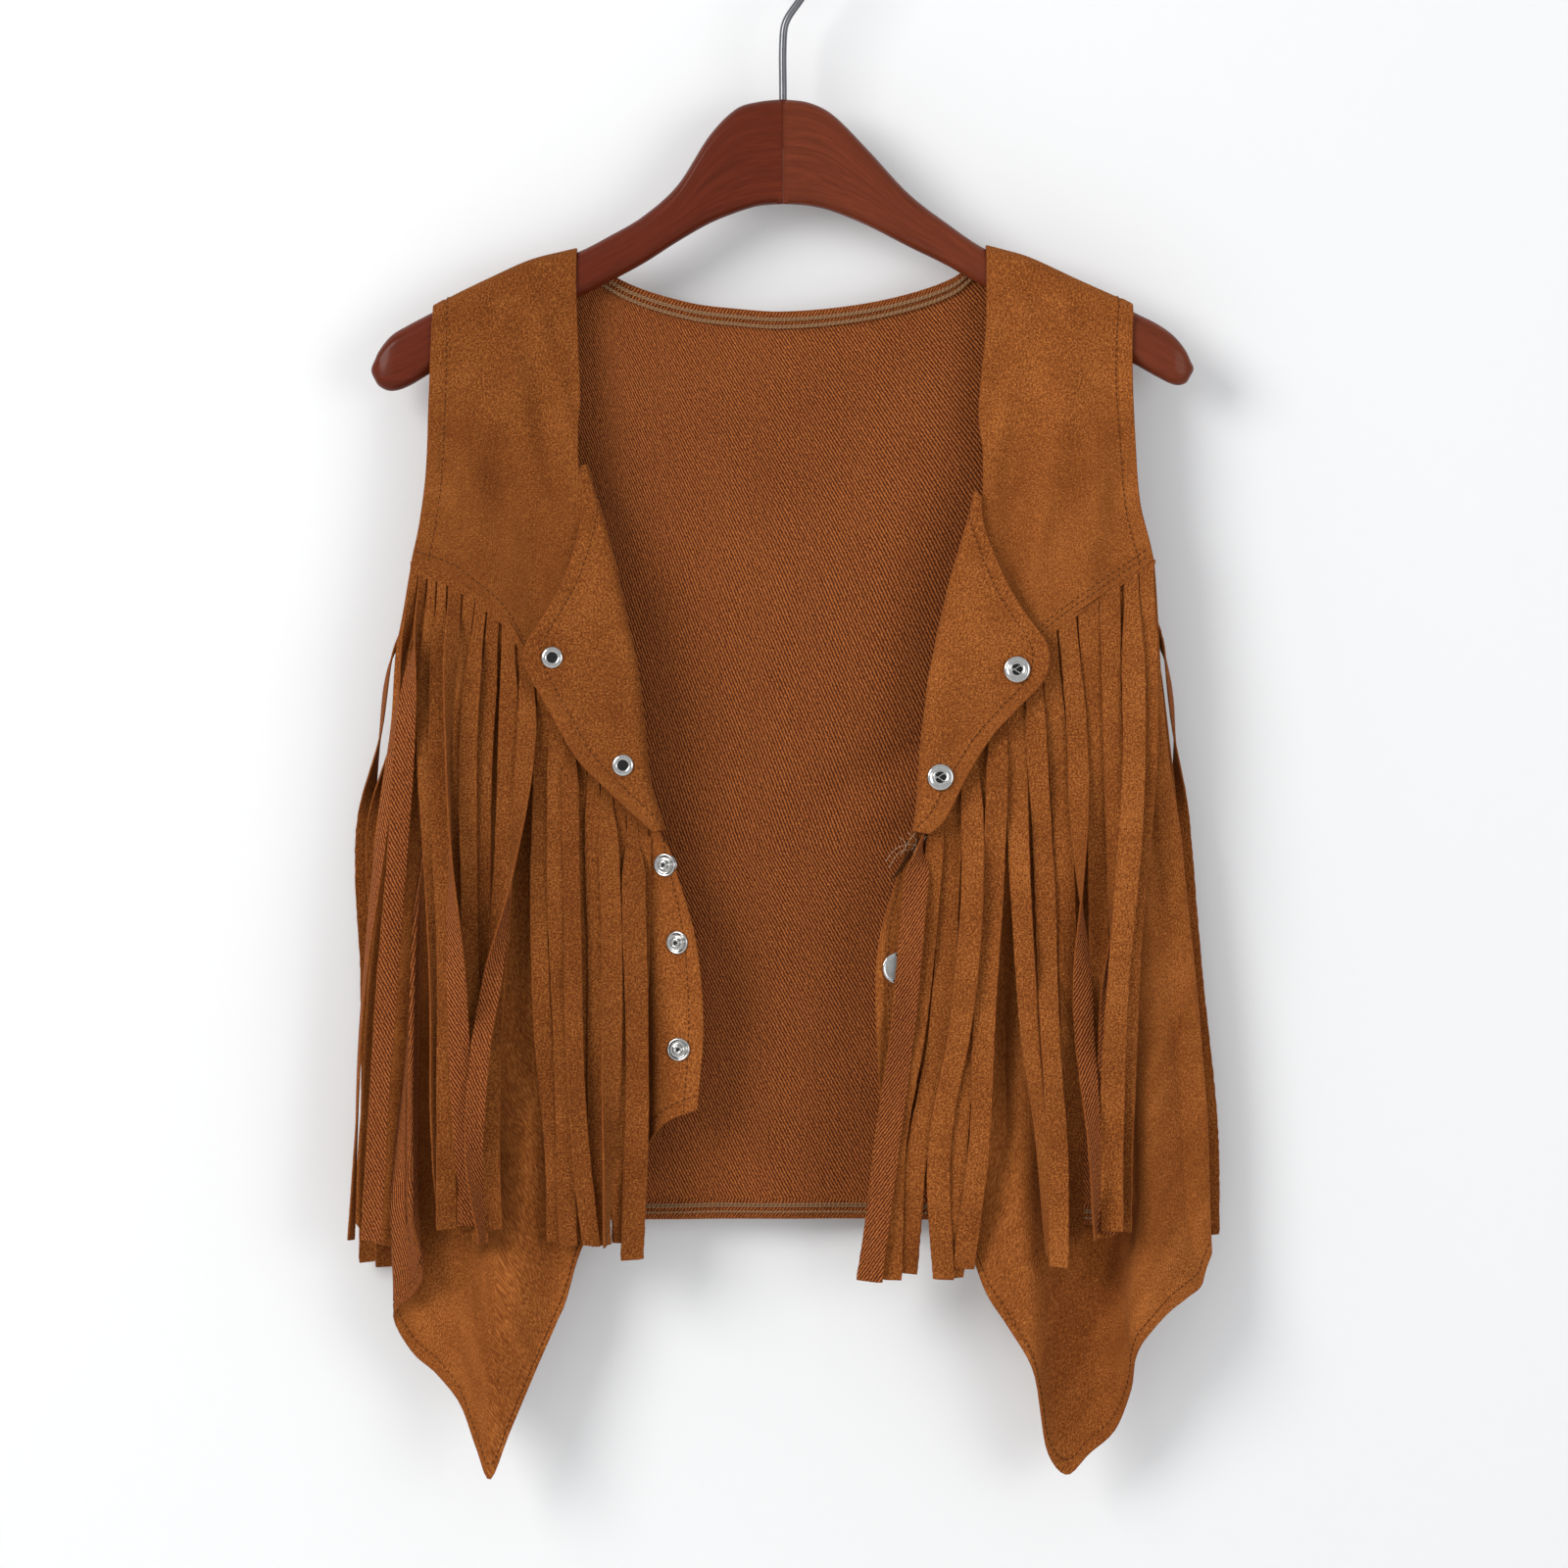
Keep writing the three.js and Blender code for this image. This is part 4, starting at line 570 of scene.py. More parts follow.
def lathe(profile, around=40):
    """A turned shape about +Z from rows of radius and height, with the faces pointing out."""
    profile = np.asarray(profile, float)
    angle = np.linspace(0, 2 * np.pi, around, endpoint=False)
    points = np.stack(np.broadcast_arrays(profile[:, :1] * np.cos(angle), profile[:, :1] * np.sin(angle),
                                          profile[:, 1:]), -1)
    uv = np.stack(np.broadcast_arrays(np.arange(around)[None, :], profile[:, :1]), -1)
    return points.reshape(-1, 3), grid_quads(len(profile), around, closed=True)[:, ::-1], uv.reshape(-1, 2)


print("helpers ready")

# %% [markdown]
# ## Materials
# Faux suede is a short nap over a woven base. By eye its colour drifts in soft patches where the
# nap lies another way, with a fine grain on top, so several noises of different scale are added
# before they choose between a dark and a light tan. The Sheen socket gives the pale bloom that
# short fibres have at a glancing angle. The woven reverse is darker and redder, with a fine twill
# and light specks where the nap's fibres come through.

# %% Node helpers
def nodes_of(name):
    made = bpy.data.materials.new(name)
    made.use_nodes = True
    tree = made.node_tree
    return made, tree, tree.nodes["Principled BSDF"]


def add(tree, kind, inputs=(), **settings):
    node = tree.nodes.new(kind)
    for key, value in settings.items():
        setattr(node, key, value)
    for key, value in dict(inputs).items():
        if isinstance(value, bpy.types.NodeSocket):
            tree.links.new(value, node.inputs[key])
        else:
            node.inputs[key].default_value = value
    return node


def tune(shader, roughness, **sockets):
    """Sets the shader's own sockets: Roughness, and any other by its name with _ for a space."""
    shader.inputs["Roughness"].default_value = roughness
    for name, value in sockets.items():
        shader.inputs[name.replace("_", " ")].default_value = value


def cloth_place(tree, stretch=(1, 1, 1), turn=0):
    """The cloth's own flat coordinates in metres, stretched and turned."""
    coordinate = add(tree, "ShaderNodeTexCoord")
    mapped = add(tree, "ShaderNodeMapping", {0: coordinate.outputs["UV"], 2: (0, 0, turn), 3: stretch})
    return mapped.outputs[0]


def noise(tree, where, scale, detail=3, roughness=0.55, distortion=0):
    return add(tree, "ShaderNodeTexNoise", {"Vector": where, "Scale": scale, "Detail": detail,
               "Roughness": roughness, "Distortion": distortion}).outputs["Fac"]


def wave(tree, where, settings, direction):
    inputs = {"Vector": where, **settings}
    return add(tree, "ShaderNodeTexWave", inputs, bands_direction=direction).outputs["Fac"]


def math_node(tree, operation, a, b=0.5, clamp=False):
    return add(tree, "ShaderNodeMath", {0: a, 1: b}, operation=operation, use_clamp=clamp).outputs[0]


def weigh(tree, amounts):
    """Adds noises, each centred on zero and weighed, to one half."""
    total = None
    for source, amount in amounts:
        centred = math_node(tree, "SUBTRACT", source, 0.5)
        scaled = math_node(tree, "MULTIPLY", centred, amount)
        total = math_node(tree, "ADD", scaled, 0.5 if total is None else total)
    return total


def ramp(tree, factor, stops):
    node = add(tree, "ShaderNodeValToRGB", {"Fac": factor})
    while len(node.color_ramp.elements) < len(stops):
        node.color_ramp.elements.new(0.5)
    for element, (position, colour) in zip(node.color_ramp.elements, stops):
        element.position, element.color = position, (*colour, 1)
    return node.outputs["Color"]


def raise_surface(tree, shader, height, strength, distance):
    bumped = add(tree, "ShaderNodeBump", {"Height": height, "Strength": strength, "Distance": distance})
    tree.links.new(bumped.outputs[0], shader.inputs["Normal"])


# %% The nap, the woven reverse and the cut edge
nap_dark, nap_mid, nap_light = (0.115, 0.029, 0.0065), (0.218, 0.062, 0.0125), (0.40, 0.135, 0.032)
weave_dark, weave_mid, weave_speck = (0.065, 0.015, 0.0040), (0.190, 0.047, 0.0110), (0.42, 0.130, 0.034)


def suede_nap(name, tone=1.0):
    made, tree, shader = nodes_of(name)
    flat, combed = cloth_place(tree), cloth_place(tree, (1, 0.3, 1))
    patches, drift = noise(tree, flat, 16, 3), noise(tree, flat, 60, 3)
    fibres, grain = noise(tree, combed, 1100, 2), noise(tree, flat, 1150, 2)
    shade = weigh(tree, [(patches, 0.5), (drift, 0.25), (fibres, 0.7), (grain, 1.6)])
    # tone scales all three colours; the per-piece values below are painted light and shade.
    colours = [tuple(c * tone for c in colour) for colour in (nap_dark, nap_mid, nap_light)]
    tree.links.new(ramp(tree, shade, list(zip((0.2, 0.5, 0.8), colours))), shader.inputs["Base Color"])
    tune(shader, 0.95, Specular_IOR_Level=0.05, Sheen_Weight=0.10, Sheen_Roughness=0.45,
         Sheen_Tint=(1.0, 0.52, 0.20, 1))
    raise_surface(tree, shader, weigh(tree, [(fibres, 0.4), (grain, 0.9), (drift, 0.4)]), 0.6, 0.0004)
    return made


def woven_reverse(name):
    made, tree, shader = nodes_of(name)
    flat, slanted = cloth_place(tree), cloth_place(tree, (1, 1, 1), math.radians(-30))
    twill = wave(tree, slanted, {"Scale": 225, "Distortion": 2.2, "Detail": 2, "Detail Scale": 3.0}, "X")
    specks, patches, grain = noise(tree, flat, 900, 2), noise(tree, flat, 14, 3), noise(tree, flat, 2200, 2)
    shade = weigh(tree, [(twill, 1.0), (specks, 1.5), (patches, 0.3), (grain, 0.9)])
    stops = [(0.12, weave_dark), (0.48, weave_mid), (0.62, weave_mid), (0.95, weave_speck)]
    tree.links.new(ramp(tree, shade, stops), shader.inputs["Base Color"])
    tune(shader, 0.9, Specular_IOR_Level=0.08, Sheen_Weight=0.03, Sheen_Roughness=0.5,
         Sheen_Tint=(1.0, 0.6, 0.35, 1))
    raise_surface(tree, shader, weigh(tree, [(twill, 0.8), (specks, 0.7)]), 0.8, 0.0004)
    return made


def cut_edge(name):
    made, tree, shader = nodes_of(name)
    flat = cloth_place(tree)
    fluff = weigh(tree, [(noise(tree, flat, 900, 3), 1.0), (noise(tree, flat, 150, 2), 0.5)])
    stops = [(0.25, weave_mid), (0.55, nap_mid), (0.85, (0.46, 0.19, 0.05))]
    tree.links.new(ramp(tree, fluff, stops), shader.inputs["Base Color"])
    tune(shader, 1.0, Specular_IOR_Level=0.1)
    raise_surface(tree, shader, fluff, 0.7, 0.0004)
    return made


reverse = woven_reverse("woven_reverse")
edge = cut_edge("cut_edge")
# Painted light and shade: the nap's colour is scaled per piece and side. The left yoke, flap and strips are
# darker, and the right pieces and both lower fronts lighter, standing in for how the light falls on each.
painted_light_and_shade = {
    "left": {"yoke": 0.82, "flap": 0.88, "panel": 1.08, "strips": 0.84},
    "right": {"yoke": 1.08, "flap": 1.08, "panel": 1.08, "strips": 1.0},
}
cloth_sides = [suede_nap("suede_nap"), reverse, edge]
lit_and_shaded_suede = {
    (side_name, piece): [suede_nap(f"suede_{piece}_{side_name}", tone), reverse, edge]
    for side_name, pieces in painted_light_and_shade.items()
    for piece, tone in pieces.items()
}
print("cloth materials:", len(cloth_sides) + len(lit_and_shaded_suede))


# %% Wood, steel and thread
def cherry_wood(name, seed, colour):
    made, tree, shader = nodes_of(name)
    along_grain = cloth_place(tree, (1, 9, 1), 0.12)
    shift = (seed, seed * 0.7, seed)
    where = add(tree, "ShaderNodeVectorMath", {0: along_grain, 1: shift}, operation="ADD").outputs[0]
    veins = noise(tree, where, 22, 6, 0.6, 1.6)
    pores = noise(tree, where, 160, 3, 0.5)
    shade = weigh(tree, [(veins, 0.8), (pores, 0.3)])
    stops = [(0.1, tuple(0.45 * c for c in colour)), (0.5, colour), (0.9, tuple(1.7 * c for c in colour))]
    tree.links.new(ramp(tree, shade, stops), shader.inputs["Base Color"])
    tune(shader, 0.35, Specular_IOR_Level=0.07, Coat_Weight=0.11, Coat_Roughness=0.12)
    return made


def metal(name, colour, roughness, wear):
    made, tree, shader = nodes_of(name)
    flat = cloth_place(tree)
    scuffs = noise(tree, flat, wear, 4)
    tree.links.new(ramp(tree, scuffs, [(0.3, tuple(c * 0.8 for c in colour)), (0.7, colour)]),
                   shader.inputs["Base Color"])
    tune(shader, roughness, Metallic=1.0)
    raise_surface(tree, shader, scuffs, 0.08, 0.0002)
    return made


def thread(name, dark, light):
    made, tree, shader = nodes_of(name)
    flat = cloth_place(tree)
    ply = wave(tree, flat, {"Scale": 260}, "DIAGONAL")
    tree.links.new(ramp(tree, ply, [(0.2, dark), (0.8, light)]), shader.inputs["Base Color"])
    tune(shader, 0.8, Specular_IOR_Level=0.1)
    return made


wood_of = {
    "left": cherry_wood("cherry_left", 0.0, (0.105, 0.0165, 0.0058)),
    "right": cherry_wood("cherry_right", 3.7, (0.135, 0.027, 0.0100)),
}
snap_steel = metal("snap_steel", (0.60, 0.59, 0.57), 0.14, 300)
# Painted shade: the caps' faces are darker steel than the rest, so they stay dark where they sit in the
# shadow between strips.
cap_steel = metal("cap_steel", (0.36, 0.36, 0.35), 0.5, 300)
dark_steel = metal("hook_steel", (0.16, 0.16, 0.17), 0.28, 120)
# Painted shade: the hollows of the ring, stud and socket are near-black, for the shade inside them.
hollow_painted_shade = metal("snap_painted_shade", (0.03, 0.03, 0.03), 0.5, 300)
brown_thread = thread("brown_thread", (0.050, 0.016, 0.005), (0.11, 0.036, 0.010))
grey_thread = thread("neck_thread", (0.17, 0.085, 0.040), (0.36, 0.20, 0.10))
pale_thread = thread("pale_thread", (0.22, 0.13, 0.075), (0.48, 0.33, 0.22))
print("hard materials ready")

# %% [markdown]
# ## Hems, folds and stitches
# A turned hem is a double layer, so it stands a little proud and dips where its stitches pull it
# in. Both come from the distance to the edge. Soft creases are ridges along short straight lines
# that fade at both ends. Stitches are real little threads laid on the cloth.

# %% Relief and stitches
def hemmed(grid, facing, edges, inset):
    """Moves the outer face out within a hem and in along its stitches."""
    distances = edge_distances(grid)
    away = np.min([distances[name] for name in edges], axis=0)
    stand = 0.45 * (1 - ease((away - inset) / 1.4))
    dip = 0.5 * np.exp(-((away - inset + 1.2) / 0.9) ** 2)
    return grid + facing * normals(grid) * (stand - dip)[..., None]


def creased(grid, facing, rows):
    """Soft ridges and troughs: each runs from one place to another and fades at its ends."""
    x, z = grid[..., 0], grid[..., 2]
    rise = np.zeros_like(x)
    for x0, z0, x1, z1, width, height in zip(*rows.values()):
        dx, dz = x1 - x0, z1 - z0
        part = ((x - x0) * dx + (z - z0) * dz) / (dx * dx + dz * dz)
        off = ((x - x0) * dz - (z - z0) * dx) / math.hypot(dx, dz)
        fade = ease(part / 0.3 + 0.5) * ease((1 - part) / 0.3 + 0.5)
        rise += height * np.exp(-(off / width) ** 2) * fade
    return grid + facing * normals(grid) * rise[..., None]


def inset_line(grid, facing, edge_name, inset):
    """The line on the grid at a distance from one edge, with the outward normals along it."""
    distances = edge_distances(grid)[edge_name]
    outward = facing * normals(grid)
    if edge_name in ("top", "bottom"):
        grid, distances, outward = (np.swapaxes(a, 0, 1) for a in (grid, distances, outward))
    order = slice(None, None, -1) if edge_name in ("last", "bottom") else slice(None)
    points, directions = [], []
    for row, away, out_row in zip(grid, distances, outward):
        away = away[order]
        points.append([np.interp(inset, away, row[order][:, k]) for k in range(3)])
        directions.append([np.interp(inset, away, out_row[order][:, k]) for k in range(3)])
    return np.array(points), np.array(directions)


def seat_on(grid, side, out, down):
    """The point on the outer face at a place seen from the front, and the way it faces."""
    facing = -side["sign"]
    x, z = side["sign"] * out, -down
    away = np.hypot(grid[..., 0] - x, grid[..., 2] - z)
    i, j = np.unravel_index(np.argmin(away), away.shape)
    window = facing * normals(grid)[max(i - 3, 0):i + 4, max(j - 3, 0):j + 4].reshape(-1, 3)
    outward = window.mean(0) / np.linalg.norm(window.mean(0))
    near = grid[i, j]
    y = near[1] - (outward[0] * (x - near[0]) + outward[2] * (z - near[2])) / outward[1]
    return np.array([x, y, z]), outward


def stitches(line, outward, pitch=3.1, length=2.3, radius=0.24, lift=0.12):
    """Short threads end to end along a line on the cloth."""
    travel = np.concatenate([[0], np.cumsum(np.linalg.norm(np.diff(line, axis=0), axis=1))])
    count = int(travel[-1] // pitch)
    made = []
    for k in range(count):
        at = (k + 0.5) * pitch + length * np.linspace(-0.5, 0.5, 5)
        sunk = np.array([-0.35, 0.02, lift, 0.02, -0.35])
        centre = np.stack([np.interp(at, travel, line[:, c]) for c in range(3)], -1)
        up = np.stack([np.interp(at, travel, outward[:, c]) for c in range(3)], -1)
        points, quads, uv = tube(centre + up * sunk[:, None], radius, 6)
        made.append((points, quads, 0, uv))
    return made


creases_left_yoke = table("x0 z0 x1 z1 width height",
    [-113, -205, -122, -350, 9, -4], [-122, -186, -100, -268, 5, 2.4], [-138, -196, -112, -300, 6, 2.2],
    [-156, -232, -146, -330, 8, 2.4],
    [-112, -205, -96, -300, 11, 2.86], [-150, -225, -118, -330, 13, -1.98], [-130, -215, -160, -300, 9, 1.76],
    [-100, -190, -104, -250, 6, -1.76], [-90, -330, -120, -372, 9, 1.54])
creases_right_yoke = table("x0 z0 x1 z1 width height",
    [106, -205, 114, -340, 8, -3.6], [118, -190, 106, -262, 5, 2.2], [140, -215, 124, -320, 6, 2.4],
    [158, -240, 148, -335, 8, 2.4],
    [112, -210, 128, -330, 12, -2.64], [140, -200, 152, -300, 12, 1.98], [104, -195, 108, -260, 6, 1.76],
    [160, -230, 128, -320, 8, -1.54], [95, -330, 118, -372, 9, 1.54])
creases_back = table("x0 z0 x1 z1 width height",
    [-60, -230, -30, -420, 26, 2.72], [70, -220, 40, -400, 22, -2.72], [-120, -330, -96, -560, 18, 3.06],
    [24, -430, 86, -396, 9, 2.21], [30, -446, 92, -420, 8, -1.87], [120, -300, 96, -520, 20, 2.72],
    [-20, -500, -34, -630, 14, 2.55], [60, -480, 74, -632, 13, -2.55], [-84, -500, -80, -630, 10, -2.04],
    [-150, -280, -110, -330, 10, 1.7], [150, -270, 112, -330, 9, -1.7])
creases_front = {
    "left": table("x0 z0 x1 z1 width height",
        [-55, -446, -40, -530, 7, 4], [-58, -520, -52, -620, 5, -1.5], [-120, -560, -134, -700, 9, 4],
        [-150, -600, -166, -700, 8, -4], [-100, -600, -120, -745, 9, -4]),
    "right": table("x0 z0 x1 z1 width height",
        [50, -480, 45, -600, 2, 1.0], [62, -535, 52, -620, 5, -2.5], [73, -440, 66, -610, 5, -9],
        [104, -425, 108, -600, 6, -9], [152, -405, 156, -640, 7, -10], [152, -590, 146, -745, 15, -12],
        [178, -560, 172, -700, 8, 3.5], [116, -610, 124, -745, 8, 3]),
}
tables = [creases_back, creases_left_yoke, creases_right_yoke, *creases_front.values()]
print("creases:", sum(len(rows["x0"]) for rows in tables))

# %% [markdown]
# ## The back
# One piece from shoulder to hem. Its woven reverse is what shows between the open fronts, with
# a cover-stitched band round the neck and an overlocked hem.

# %% Back panel
back = creased(back_grid(150, 170), 1, creases_back)
back_cloth = dress("back_panel", "_cloth", shell(back, cloth, 1), cloth_sides)
inside_back = back - normals(back) * cloth
print("back panel:", len(back_cloth.data.polygons), "faces")

# %% [markdown]
# ## The yokes and the turned-out edges
# The yoke comes over the shoulder and down to a slanting seam. Below the neck its front edge
# folds outwards into a pointed flap, faced with the same suede, so both its faces show nap.

# %% Yokes and flaps
grids = {}
for side_name, side in sides.items():
    facing = -side["sign"]
    creases = creases_left_yoke if side_name == "left" else creases_right_yoke
    yoke = creased(yoke_grid(side, 84, 150), facing, creases)
    yoke = hemmed(yoke, facing, ["last"], 8)
    yoke_parts = shell(yoke, cloth, facing)
    yoke_cloth = dress(f"front_yoke_{side_name}", "_cloth", yoke_parts, lit_and_shaded_suede[side_name, "yoke"])
    flap = hemmed(lapel_grid(side, 140), facing, ["last"], 8)
    flap_parts = shell(flap, faced_cloth, facing, (0, 0, 2))
    flap_cloth = dress(f"lapel_{side_name}", "_cloth", flap_parts, lit_and_shaded_suede[side_name, "flap"])
    grids[side_name] = {"yoke": yoke, "flap": flap, "yoke_cloth": yoke_cloth, "flap_cloth": flap_cloth}
print("yokes and flaps made")

# %% [markdown]
# ## The lower fronts
# Each hangs from behind the yoke in soft upright folds and ends in a point. The folds are the
# ribs of the table; the grid reads a smooth surface through them.

# %% Lower fronts
set_back = 10  # of the front behind the fringe, so that dark shows between the strips

for side_name, side in sides.items():
    facing = -side["sign"]
    across, hang = spaced(120, 0.6), spaced(200, 0.6)
    plain = lower_front(side, 1 - across, hang)
    clear = edge_distances(plain)
    behind = ease((clear["top"] - 12) / 30) * ease((clear["first"] - 22) / 14) * ease(clear["last"] / 18)
    behind *= 1 - ease((-plain[..., 2] - 625) / 60)
    panel = plain - facing * normals(plain) * (set_back * behind)[..., None]
    panel = creased(panel, facing, creases_front[side_name])
    panel = hemmed(panel, facing, ["first", "last", "bottom"], 7)
    parts = shell(panel, cloth, facing)
    made = dress(f"lower_front_{side_name}", "_cloth", parts, lit_and_shaded_suede[side_name, "panel"])
    grids[side_name].update(panel=panel, plain=plain, panel_cloth=made)
print("lower fronts made")

# %% [markdown]
# ## The fringe
# The strips are one wide piece cut into slits below an uncut band. They lie over one another, so
# each is laid on what already hangs there: a small height map keeps the foremost place at every
# spot, and a strip rests on it, bridges its dips and then adds itself to it.

# %% A height map of what hangs
map_across, map_down = 1.0, 2.0
map_rows, map_columns = 220, 260
map_top = 300


def new_map(side, panel):
    heights = np.full((map_rows, map_columns), -1e3)
    out, fore, down = side["sign"] * panel[..., 0], -panel[..., 1], -panel[..., 2]
    row = np.clip(((down - map_top) / map_down).astype(int), 0, map_rows - 1)
    column = np.clip((out / map_across).astype(int), 0, map_columns - 1)
    np.maximum.at(heights, (row, column), fore)
    for axis in (0, 1):
        heights = np.maximum(heights, np.maximum(np.roll(heights, 1, axis), np.roll(heights, -1, axis)))
    return heights


def add_snaps_to_map(heights, side):
    for out, down in zip(*side["snaps_on_front"].values()):
        row, column = int((down - map_top) / map_down), int(out / map_across)
        spot = heights[row - 3:row + 4, column - 6:column + 7]
        spot[:] = spot.max() + 2.6


# %% Strips laid one on another
strip_step = 2.5


def strip_line(side, strip, heights, header):
    """Centre, width and turn of a strip down its length, laid on the height map."""
    seam = side["yoke_edge"]
    root_down = along(seam, "out", "down", strip["root"]) + gap
    before, after = (along(seam, "out", "down", strip["root"] + step) for step in (-1, 1))
    slope = (after - before) / 2
    root_fore = yoke_edge_fore(side, strip["root"]) - cloth / 2
    turn470 = mix(strip["turn400"], strip["turn540"], 0.4)
    turn600 = mix(strip["turn540"], strip["turn_end"], 0.6)
    stations = np.array([
        [root_down, strip["root"], 0],
        [400, strip["at400"], strip["turn400"]], [470, strip["at470"], turn470],
        [540, strip["at540"], strip["turn540"]], [600, strip["at600"], turn600],
        [strip["end"], strip["at_end"], strip["turn_end"]]])
    stations = np.concatenate([stations[:1], stations[1:][stations[1:, 0] > root_down + 28]])
    start = root_down + header - min(0.9, header / 2)
    down = np.linspace(start, strip["end"], int((strip["end"] - start) / strip_step))
    t = (down - start) / (strip["end"] - start)
    free = ease((t - 0.1) / 0.2)
    out, turn = curve(stations[:, 0], stations[:, 1:], down).T
    sway = strip["root"] * 1.7
    out = out + free * 0.5 * np.sin(down / 31 + sway)
    turn = turn + free * (9 * np.sin(down / 47 + sway) + 6 * np.sin(down / 23 + 2 * sway))
    width = mix(strip["grip"], strip["width"], ease((t - 0.02) / 0.12))
    width = width + free * 0.35 * np.sin(down / 17 + 3 * sway)
    angle = np.radians(turn)
    half = (width * np.abs(np.cos(angle)) + strip_thickness * np.abs(np.sin(angle))) / 2
    deep = (width * np.abs(np.sin(angle)) + strip_thickness * np.abs(np.cos(angle))) / 2
    rows = np.clip(((down - map_top) / map_down).astype(int), 0, map_rows - 1)
    spans = [slice(int((o - h) / map_across), int((o + h) / map_across) + 1) for o, h in zip(out, half)]
    rest = np.array([heights[row, span].max() for row, span in zip(rows, spans)])
    window = 5
    padded = np.pad(rest, window, mode="edge")
    lifted = np.array([padded[k:k + 2 * window + 1].max() for k in range(len(rest))])
    weights = np.hanning(2 * window + 3)[1:-1]
    smooth = np.convolve(np.pad(lifted, window, mode="edge"), weights / weights.sum(), mode="valid")
    deep_smooth = np.convolve(np.pad(deep, window, mode="edge"), weights / weights.sum(), mode="valid")
    fore = np.maximum(smooth + 0.35 + deep_smooth, root_fore)
    fore = mix(root_fore, fore, ease((down - start) / 26))
    for row, span, top in zip(rows, spans, fore + deep):
        heights[row, span] = np.maximum(heights[row, span], top)
    return {"down": down, "out": out, "fore": fore, "turn": angle, "width": width,
            "slant": slope * (1 - ease(t / 0.1)), "sway": sway}


chance = np.random.default_rng(12)
overlap_share = 1.25  # how much wider the strips are side by side than the band they hang from


def strip_grid(side, line, cup=0.5):
    """The strip's outer face: seven points across, slightly cupped."""
    s = np.linspace(-1, 1, 7)[None, :]
    t = np.linspace(0, 1, len(line["down"]))[:, None]
    ragged = chance.uniform(-0.16, 0.16, (len(t), 2)) * ease((t - 0.05) / 0.05)
    a = s * line["width"][:, None] / 2
    a[:, :1] += ragged[:, :1]
    a[:, -1:] += ragged[:, 1:]
    swing = np.sin(line["down"][:, None] / 60 + line["sway"])
    b = strip_thickness / 2 + cup * (0.4 - s * s) * ease((t - 0.08) / 0.1) * swing
    cos, sin = np.cos(line["turn"])[:, None], np.sin(line["turn"])[:, None]
    slanted_end = 0.12 * math.sin(line["sway"] * 5) * ease((t - 0.97) / 0.03)
    return place(side, line["out"][:, None] + cos * a - sin * b, line["fore"][:, None] + sin * a + cos * b,
                 line["down"][:, None] + (line["slant"][:, None] + slanted_end) * a)


def loose_fibres(side, line, spacing=4.5):
    """Short fibres that stand out of a strip's two cut edges, near enough in its own plane."""
    made = []
    for row in np.arange(6, len(line["down"]) - 1, spacing / strip_step).astype(int):
        out, fore, down, turn, width = (line[key][row] for key in ("out", "fore", "down", "turn", "width"))
        for edge_sign in (-1, 1):
            s = np.linspace(0, 1, 3)
            a = edge_sign * (width / 2 - 0.2 + chance.uniform(0.5, 1.2) * s)
            out_line = out + np.cos(turn) * a
            fore_line = fore + np.sin(turn) * a + chance.uniform(-0.3, 0.7) * s * s
            down_line = down + chance.uniform(-1.2, 1.2) + chance.uniform(-1.0, 1.4) * s * s
            points, quads, uv = tube(place(side, out_line, fore_line, down_line), 0.06, 3)
            made.append((points, quads, 2, uv))
    return made


def strip_rows(strips):
    names = list(strips)
    return [dict(zip(names, row)) for row in zip(*strips.values())]


for side_name, side in sides.items():
    facing = -side["sign"]
    heights = new_map(side, grids[side_name]["plain"])
    add_snaps_to_map(heights, side)
    strips = strip_rows(side["strips"])
    roots = [strip["root"] for strip in strips]
    for i, strip in enumerate(strips):
        before = roots[i - 1] - roots[i] if i else 10
        after = roots[i] - roots[i + 1] if i + 1 < len(roots) else 8
        strip["grip"] = min(before, after) - 2.5 * gap
    seam = side["yoke_edge"]
    first = yoke_front_edge(side, seam["down"][0]) + 0.8
    band_out = np.linspace(first, seam["out"][-1] + 0.6, 110)[None, :]
    header = header_depths[side_name]
    drop = np.array([-gap, 0.2 * header, 0.6 * header, header])[:, None]
    band_down = along(seam, "out", "down", band_out) + gap + drop
    band = place(side, band_out, yoke_edge_fore(side, band_out) - 0.02 * drop, band_down)
    parts = shell(band, cloth, facing)
    lines = []
    for strip in sorted(strips, key=lambda s: s["layer"]):
        line = strip_line(side, strip, heights, header)
        lines.append(line)
        start = (strip["root"] * 13, 0)
        parts += shell(strip_grid(side, line), strip_thickness, facing, start=start, even=True)
        parts += loose_fibres(side, line)
    made = dress(f"fringe_{side_name}", "_cloth", parts, lit_and_shaded_suede[side_name, "strips"])
    band_width = float(np.ptp(band_out))
    area = sum(np.sum(line["width"]) * strip_step for line in lines) + band_width * header
    grids[side_name].update(fringe_cloth=made, fringe_area=area, fringe_width=band_width * overlap_share)
    print(side_name, "fringe:", len(strips), "strips,", len(made.data.polygons), "faces")

# %% [markdown]
# ## Strips that fall through the armhole
# At each armhole the band's end is folded in, and its last strips hang down behind the side seam.
# They start behind the yoke, turn edge-on through the armhole and then lie along the back.

# %% Armhole strips
folded_end_area = 85  # square millimetres of the band's end above the strips


def behind_back(side, out, down, away):
    return -(back_behind(side, out - 5, down) + away)


